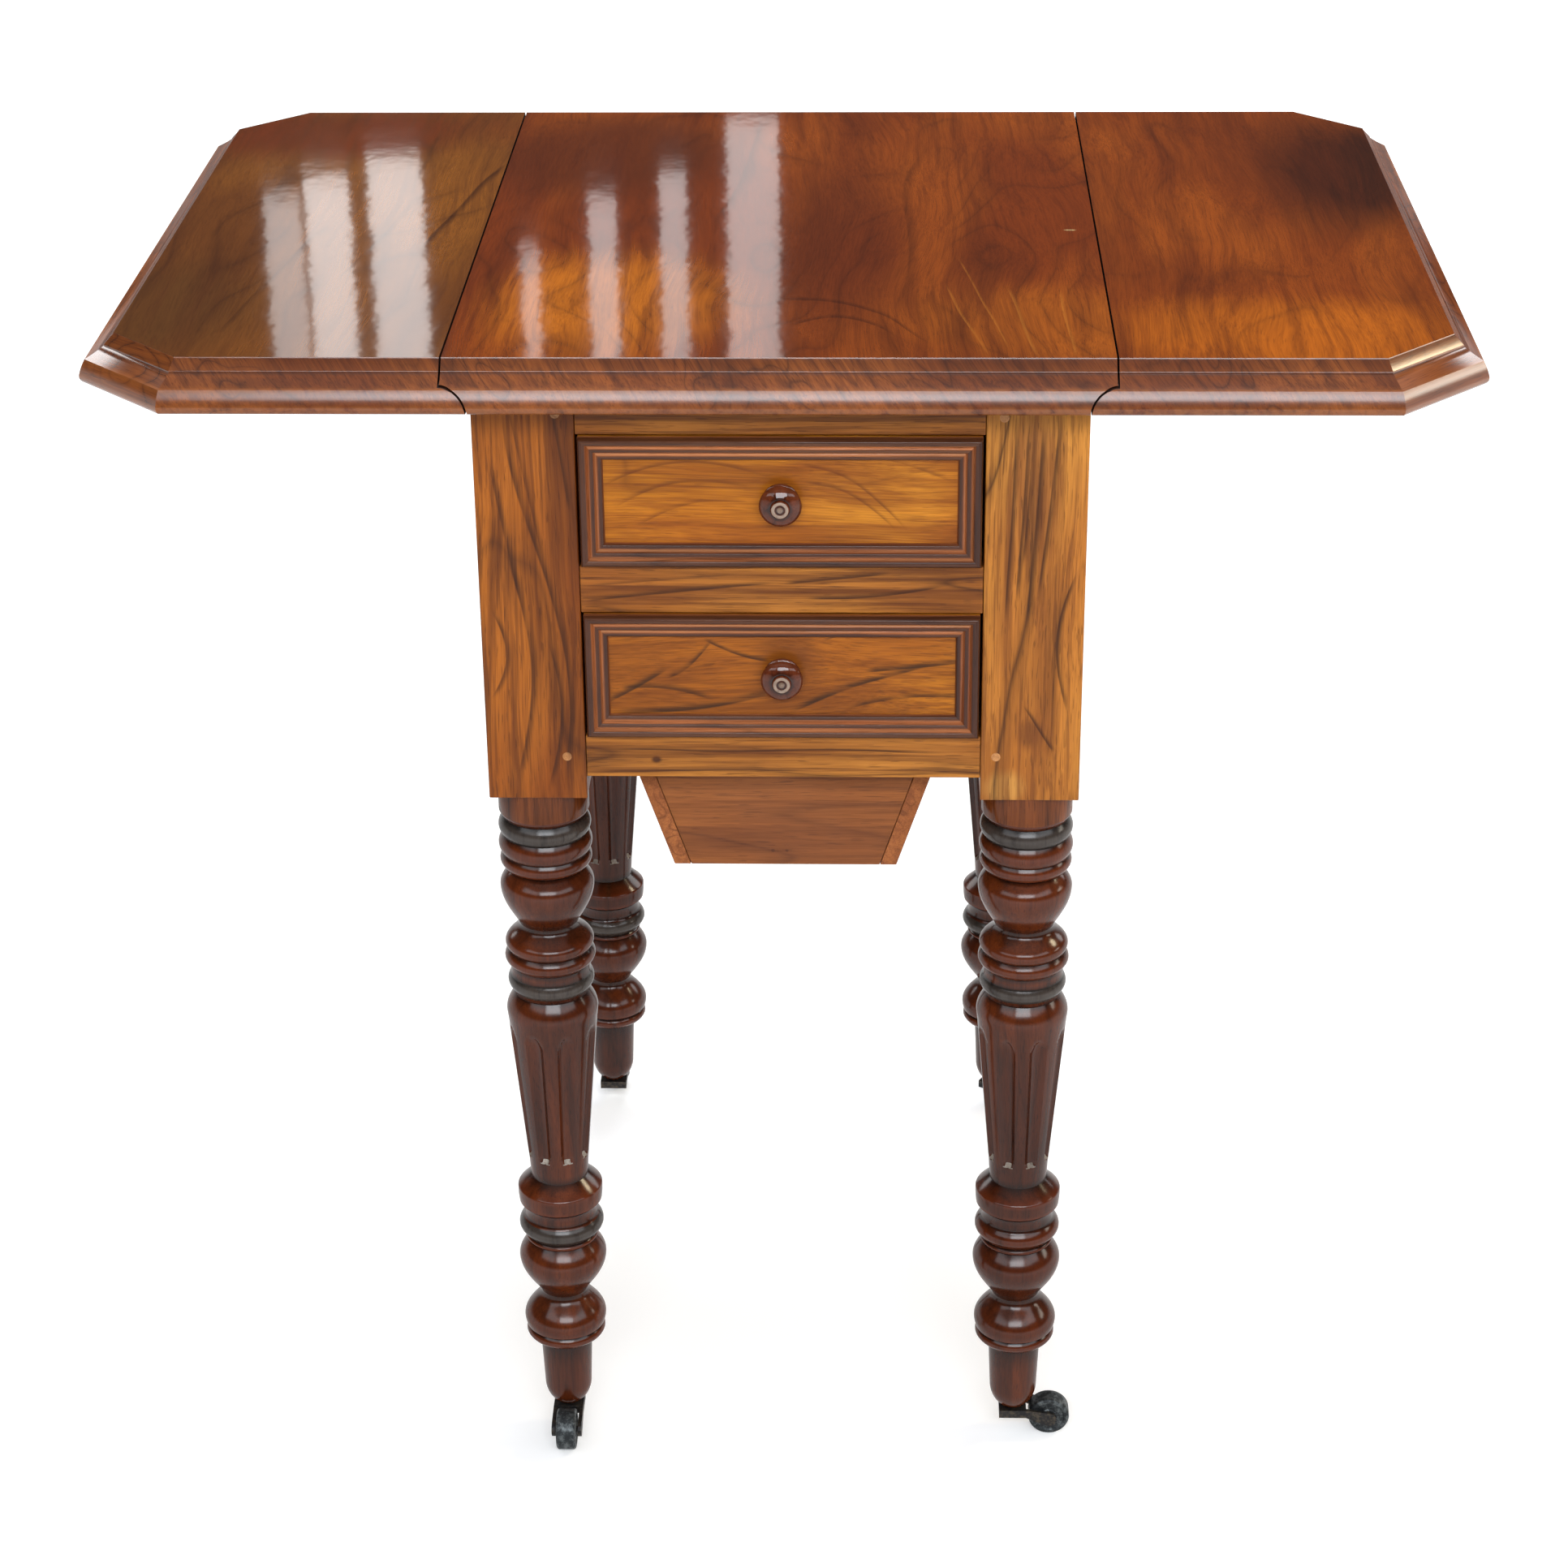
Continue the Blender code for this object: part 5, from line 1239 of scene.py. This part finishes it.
def make_drawer_frame(drawer):
    """The reeded frame of a drawer, mitred at its corners."""
    node = f"{drawer}_moulding"
    low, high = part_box(node)
    section = frame_section()
    rings = []
    for inset, height in section:
        left, right, bottom, top = low.x + inset, high.x - inset, low.z + inset, high.z - inset
        y = high.y - height
        rings.append([(left, y, bottom), (right, y, bottom), (right, y, top), (left, y, top)])
    shape = stack(rings, True, profile_marks([(height, inset) for inset, height in section]))
    middle = (low + high) / 2
    ratio = (high.x - low.x) / 2 - (high.z - low.z) / 2
    woods = [MOULDING_ACROSS_SHEEN, MOULDING_UPRIGHT]

    def pick(face):
        off = face.calc_center_median() - middle
        return MOULDING_UPRIGHT if abs(off.x) - ratio > abs(off.z) else MOULDING_ACROSS_SHEEN

    add_piece(f"{node}_reeded", shape, drawer, woods, (node,), FRAME_SMOOTH_DEG, pick=pick)


# The knob as (radius, reach) points: boss with a ring and a dot, ball, neck, base and stem
KNOB_FACE = ((0.0, 0.01400), (0.0012, 0.01385), (0.0018, 0.01340))
KNOB_RING = ((0.0026, 0.01330), (0.0032, 0.01385), (0.0044, 0.01390), (0.0052, 0.01300), (0.0055, 0.01185))
KNOB_BALL = ((0.0055, 0.01185), (0.0067, 0.01150), (0.0101, 0.00975), (0.0118, 0.00740), (0.0110, 0.00520))
KNOB_NECK = ((0.0110, 0.00520), (0.0090, 0.00400), (0.0076, 0.00320), (0.0078, 0.00230))
KNOB_BASE = ((0.0098, 0.00170), (0.0105, 0.00110), (0.0105, 0.0))
# Points that each smooth line gets between its own, and the reach beyond which the boss is painted pale, a
# painted highlight on its ring and dot
RING_STEPS = 3
BALL_STEPS = 6
KNOB_NECK_STEPS = 4
KNOB_HIGHLIGHT_REACH = 0.01362
KNOB_STEM_LENGTH = 0.0157
KNOB_SIDES = 48
KNOB_SMOOTH_DEG = 45


def make_knob(drawer):
    node = f"{drawer}_knob"
    low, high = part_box(node)
    profile = [*KNOB_FACE, *smooth_line(KNOB_RING, RING_STEPS)[:-1]]
    profile += smooth_line(KNOB_BALL, BALL_STEPS)[:-1]
    profile += [*smooth_line(KNOB_NECK, KNOB_NECK_STEPS), *KNOB_BASE]
    profile += [(KNOB_STEM_RADIUS, 0.0), (KNOB_STEM_RADIUS, -KNOB_STEM_LENGTH), (0.0, -KNOB_STEM_LENGTH)]
    place = Matrix.Translation((0.0, FRONT_Y - SEAT_GAP, (low.z + high.z) / 2)) @ LAID
    add_piece(
        f"{node}_turned", lathe(profile, KNOB_SIDES), drawer, [KNOB_WOOD, BOSS_HIGHLIGHT_WOOD], (node,),
        KNOB_SMOOTH_DEG, place,
        lambda face: BOSS_HIGHLIGHT_WOOD if face.calc_center_median().z > KNOB_HIGHLIGHT_REACH else KNOB_WOOD,
    )


for drawer, field in (("upper_drawer", DRAWER_UPPER), ("lower_drawer", DRAWER_LOWER)):
    make_drawer_frame(drawer)
    make_knob(drawer)
    eased_copy(f"{drawer}_front", THIN_EASE, "drawer_wood", field)
    for side_name in SIDES:
        eased_copy(f"{drawer}_side_{side_name}", BOARD_EASE, "inner_wood", INNER_ALONG)
    eased_copy(f"{drawer}_back", BOARD_EASE, "inner_wood", INNER_ACROSS)
    eased_copy(f"{drawer}_bottom", THIN_EASE, "inner_wood", INNER_ACROSS)

# Runners, bearer and lopers
for side_name in SIDES:
    for node in (f"upper_runner_{side_name}", f"lower_runner_{side_name}"):
        eased_copy(node, THIN_EASE, "inner_wood", INNER_ALONG)
    eased_copy(f"loper_{side_name}", LOPER_EASE, "inner_wood", INNER_ACROSS)
eased_copy("loper_bearer", THIN_EASE, "inner_wood", INNER_ACROSS)

# Well
END_NORMAL = 0.9


def end_grain(face):
    return WELL_END_WOOD if abs(face.normal.y) > END_NORMAL else WELL_SIDE_WOOD


for node in ("well_front", "well_back"):
    eased_copy(node, BOARD_EASE, "well_wood", WELL_FRONT_WOOD)
for side_name in SIDES:
    node = f"well_side_{side_name}"
    eased_copy(node, BOARD_EASE, "well_wood", WELL_SIDE_WOOD, WELL_END_WOOD, pick=end_grain)
eased_copy("well_bottom", THIN_EASE, "well_wood", WELL_SIDE_WOOD)

# Hinges and casters
for end_name, side_name in CORNERS:
    for kind in ("fixed", "moving"):
        eased_copy(f"hinge_{kind}_flap_{side_name}_{end_name}", THIN_EASE, "iron", HINGE_IRON)

# The profile of a wheel as radii, and as depths from its faces
WHEEL_SIDES = 48
WHEEL_BORE = 0.0023
HUB_RADIUS = 0.0048
HUB_FOOT_RADIUS = 0.0056
RIM_FOOT_RADIUS = 0.0092
RIM_RADIUS = 0.0100
DISH_DEPTH = 0.0008
RIM_DEPTH = 0.0001
TREAD_ROUND = 0.0018
TREAD_ROUND_DEG = (80.0, 10.0)
TREAD_STEPS = 4
TREAD_HALF = 0.0026
WHEEL_SMOOTH_DEG = 35


def make_wheel(corner):
    """A wheel with a rounded tread, a rim and a hub on each face."""
    node = f"caster_wheel_{corner}"
    low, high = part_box(node)
    centre = (low + high) / 2
    radius, half = centre.z, WHEEL_WIDTH / 2
    dish, rim, shoulder = half - DISH_DEPTH, half - RIM_DEPTH, radius - TREAD_ROUND
    side = [(WHEEL_BORE, half), (HUB_RADIUS, half), (HUB_FOOT_RADIUS, dish), (RIM_FOOT_RADIUS, dish)]
    side += [(RIM_RADIUS, rim), (shoulder, rim)]
    side += arc((shoulder, rim - TREAD_ROUND), TREAD_ROUND, *TREAD_ROUND_DEG, TREAD_STEPS)
    side.append((radius, TREAD_HALF))
    profile = side + [(out, -along) for out, along in reversed(side)]
    angles = [2 * math.pi * i / WHEEL_SIDES for i in range(WHEEL_SIDES)]
    rings = [[(out * math.cos(a), out * math.sin(a), along) for a in angles] for out, along in profile]
    wheel = stack(rings, True)
    trail = Matrix.Rotation(math.radians(CASTER_TRAIL_DEG[corner]), 4, "Z")
    place = Matrix.Translation(centre) @ trail @ LAID
    add_piece(f"{node}_round", wheel, node, [WHEEL_IRON], (node,), WHEEL_SMOOTH_DEG, place)


for end_name, side_name in CORNERS:
    corner = f"{end_name}_{side_name}"
    make_wheel(corner)
    eased_copy(f"caster_yoke_{corner}", YOKE_EASE, "iron", YOKE_IRON)
    eased_copy(f"caster_pivot_{corner}", PIVOT_EASE, "iron", YOKE_IRON)


# Floor and room, with the glow of the floor near the table and far from it
FLOOR_REACH = 60.0
FLOOR_SHADE = 0.80
FLOOR_ROUGHNESS = 0.9
FLOOR_GLOW_NEAR = 0.32
FLOOR_GLOW_FAR = 0.80
FLOOR_GLOW_START = 0.7
FLOOR_GLOW_END = 4.0
# Shades of the room by the height of the view: pale at the horizon and overhead, and dim between
ROOM_STOPS = ((0.0, 0.95), (0.04, 0.95), (0.12, 0.06), (0.66, 0.06), (0.88, 0.70))


def make_floor():
    """A pale floor that glows white where it is seen, mirrored or looked through to."""
    shape = bmesh.new()
    bmesh.ops.create_grid(shape, x_segments=1, y_segments=1, size=FLOOR_REACH)
    floor = link("floor", finish_mesh(shape, "floor", None))
    paint = Paint("floor")
    kinds = ("Camera", "Glossy", "Transmission")
    camera, glossy, through = (paint.add("ShaderNodeLightPath", {}, f"Is {kind} Ray") for kind in kinds)
    seen = paint.math("MAXIMUM", paint.math("MAXIMUM", camera, glossy), through)
    limits = (FLOOR_GLOW_START, FLOOR_GLOW_END, FLOOR_GLOW_NEAR, FLOOR_GLOW_FAR)
    glow = paint.times(seen, paint.range(paint.length(paint.place), *limits))
    paint.set(Base_Color=grey(FLOOR_SHADE), Roughness=FLOOR_ROUGHNESS, Specular_IOR_Level=0.0)
    paint.set(Emission_Color=grey(1.0), Emission_Strength=glow)
    floor.data.materials.append(paint.material)


def make_world():
    world = bpy.data.worlds.new("studio")
    bpy.context.scene.world = world
    world.use_nodes = True
    nodes = Nodes(world.node_tree)
    place = nodes.add("ShaderNodeTexCoord", {}, "Generated")
    height = nodes.add("ShaderNodeSeparateXYZ", {0: place}, "Z")
    background = world.node_tree.nodes["Background"]
    nodes.give(background.inputs["Color"], nodes.ramp(height, ROOM_STOPS))
    background.inputs["Strength"].default_value = 1.0


# Lights
WHITE = (1.0, 1.0, 1.0)
COOL = (0.91, 0.95, 1.0)
TABLE_MIDDLE = (0.0, 0.0, 0.45)
TABLE_TOP = (0.0, 0.0, 0.6)
RIGHT_CORNER = (0.36, -0.24, 0.72)
# Soft boxes: place, target, width and height, power and colour
SOFT_BOXES = {
    "front": ((0.2, -3.0, 2.3), TABLE_MIDDLE, (2.2, 0.8), 80.0, COOL),
    "key": ((-2.05, -2.3, 2.3), TABLE_MIDDLE, (2.2, 0.9), 21.0, COOL),
    "fill": ((2.3, -2.1, 2.3), TABLE_MIDDLE, (2.4, 0.9), 27.0, COOL),
    "over": ((0.1, 1.2, 2.9), TABLE_TOP, (1.4, 0.9), 40.0, (0.93, 0.96, 1.0)),
    "back_left": ((-2.4, 2.2, 1.7), TABLE_MIDDLE, (1.2, 1.2), 22.0, WHITE),
    "back_right": ((2.4, 2.2, 1.7), TABLE_MIDDLE, (1.2, 1.2), 22.0, WHITE),
    "glare": ((2.72, 0.66, 2.33), RIGHT_CORNER, (0.6, 0.5), 24.0, (1.0, 0.86, 0.58)),
    "side_glow": ((3.2, 0.1, 1.35), RIGHT_CORNER, (0.8, 0.4), 9.0, (1.0, 0.93, 0.80)),
}
# Tall window strips behind the table, which the glossy top mirrors: middle X, width, foot and brightness
WINDOW_Y = 3.0
WINDOW_TOP_Z = 2.1
WINDOWS = (
    (-0.840, 0.055, 1.600, 1.5),
    (-0.772, 0.066, 1.572, 2.4),
    (-0.670, 0.080, 1.542, 2.3),
    (-0.474, 0.026, 1.680, 1.3),
    (-0.364, 0.042, 1.601, 1.5),
    (-0.258, 0.040, 1.563, 1.5),
    (-0.140, 0.076, 1.484, 1.5),
)


def add_light(name, place, target, size, power, colour):
    """A soft box of a width and a height that faces a target."""
    data = bpy.data.lights.new(name, "AREA")
    data.shape = "RECTANGLE"
    data.size, data.size_y = size
    data.energy = power
    data.color = colour
    light = link(name, data)
    aim = Vector(target) - Vector(place)
    light.matrix_world = Matrix.Translation(place) @ aim.to_track_quat("-Z", "Y").to_matrix().to_4x4()
    light.visible_camera = False


make_floor()
make_world()
for name, soft_box in SOFT_BOXES.items():
    add_light(name, *soft_box)
for number, (x, width, foot, brightness) in enumerate(WINDOWS):
    height = WINDOW_TOP_Z - foot
    z = foot + height / 2
    power = brightness * math.pi * width * height
    add_light(f"window_{number}", (x, WINDOW_Y, z), (x, 0.0, z), (width, height), power, WHITE)

bpy.context.scene.view_settings.view_transform = "Standard"
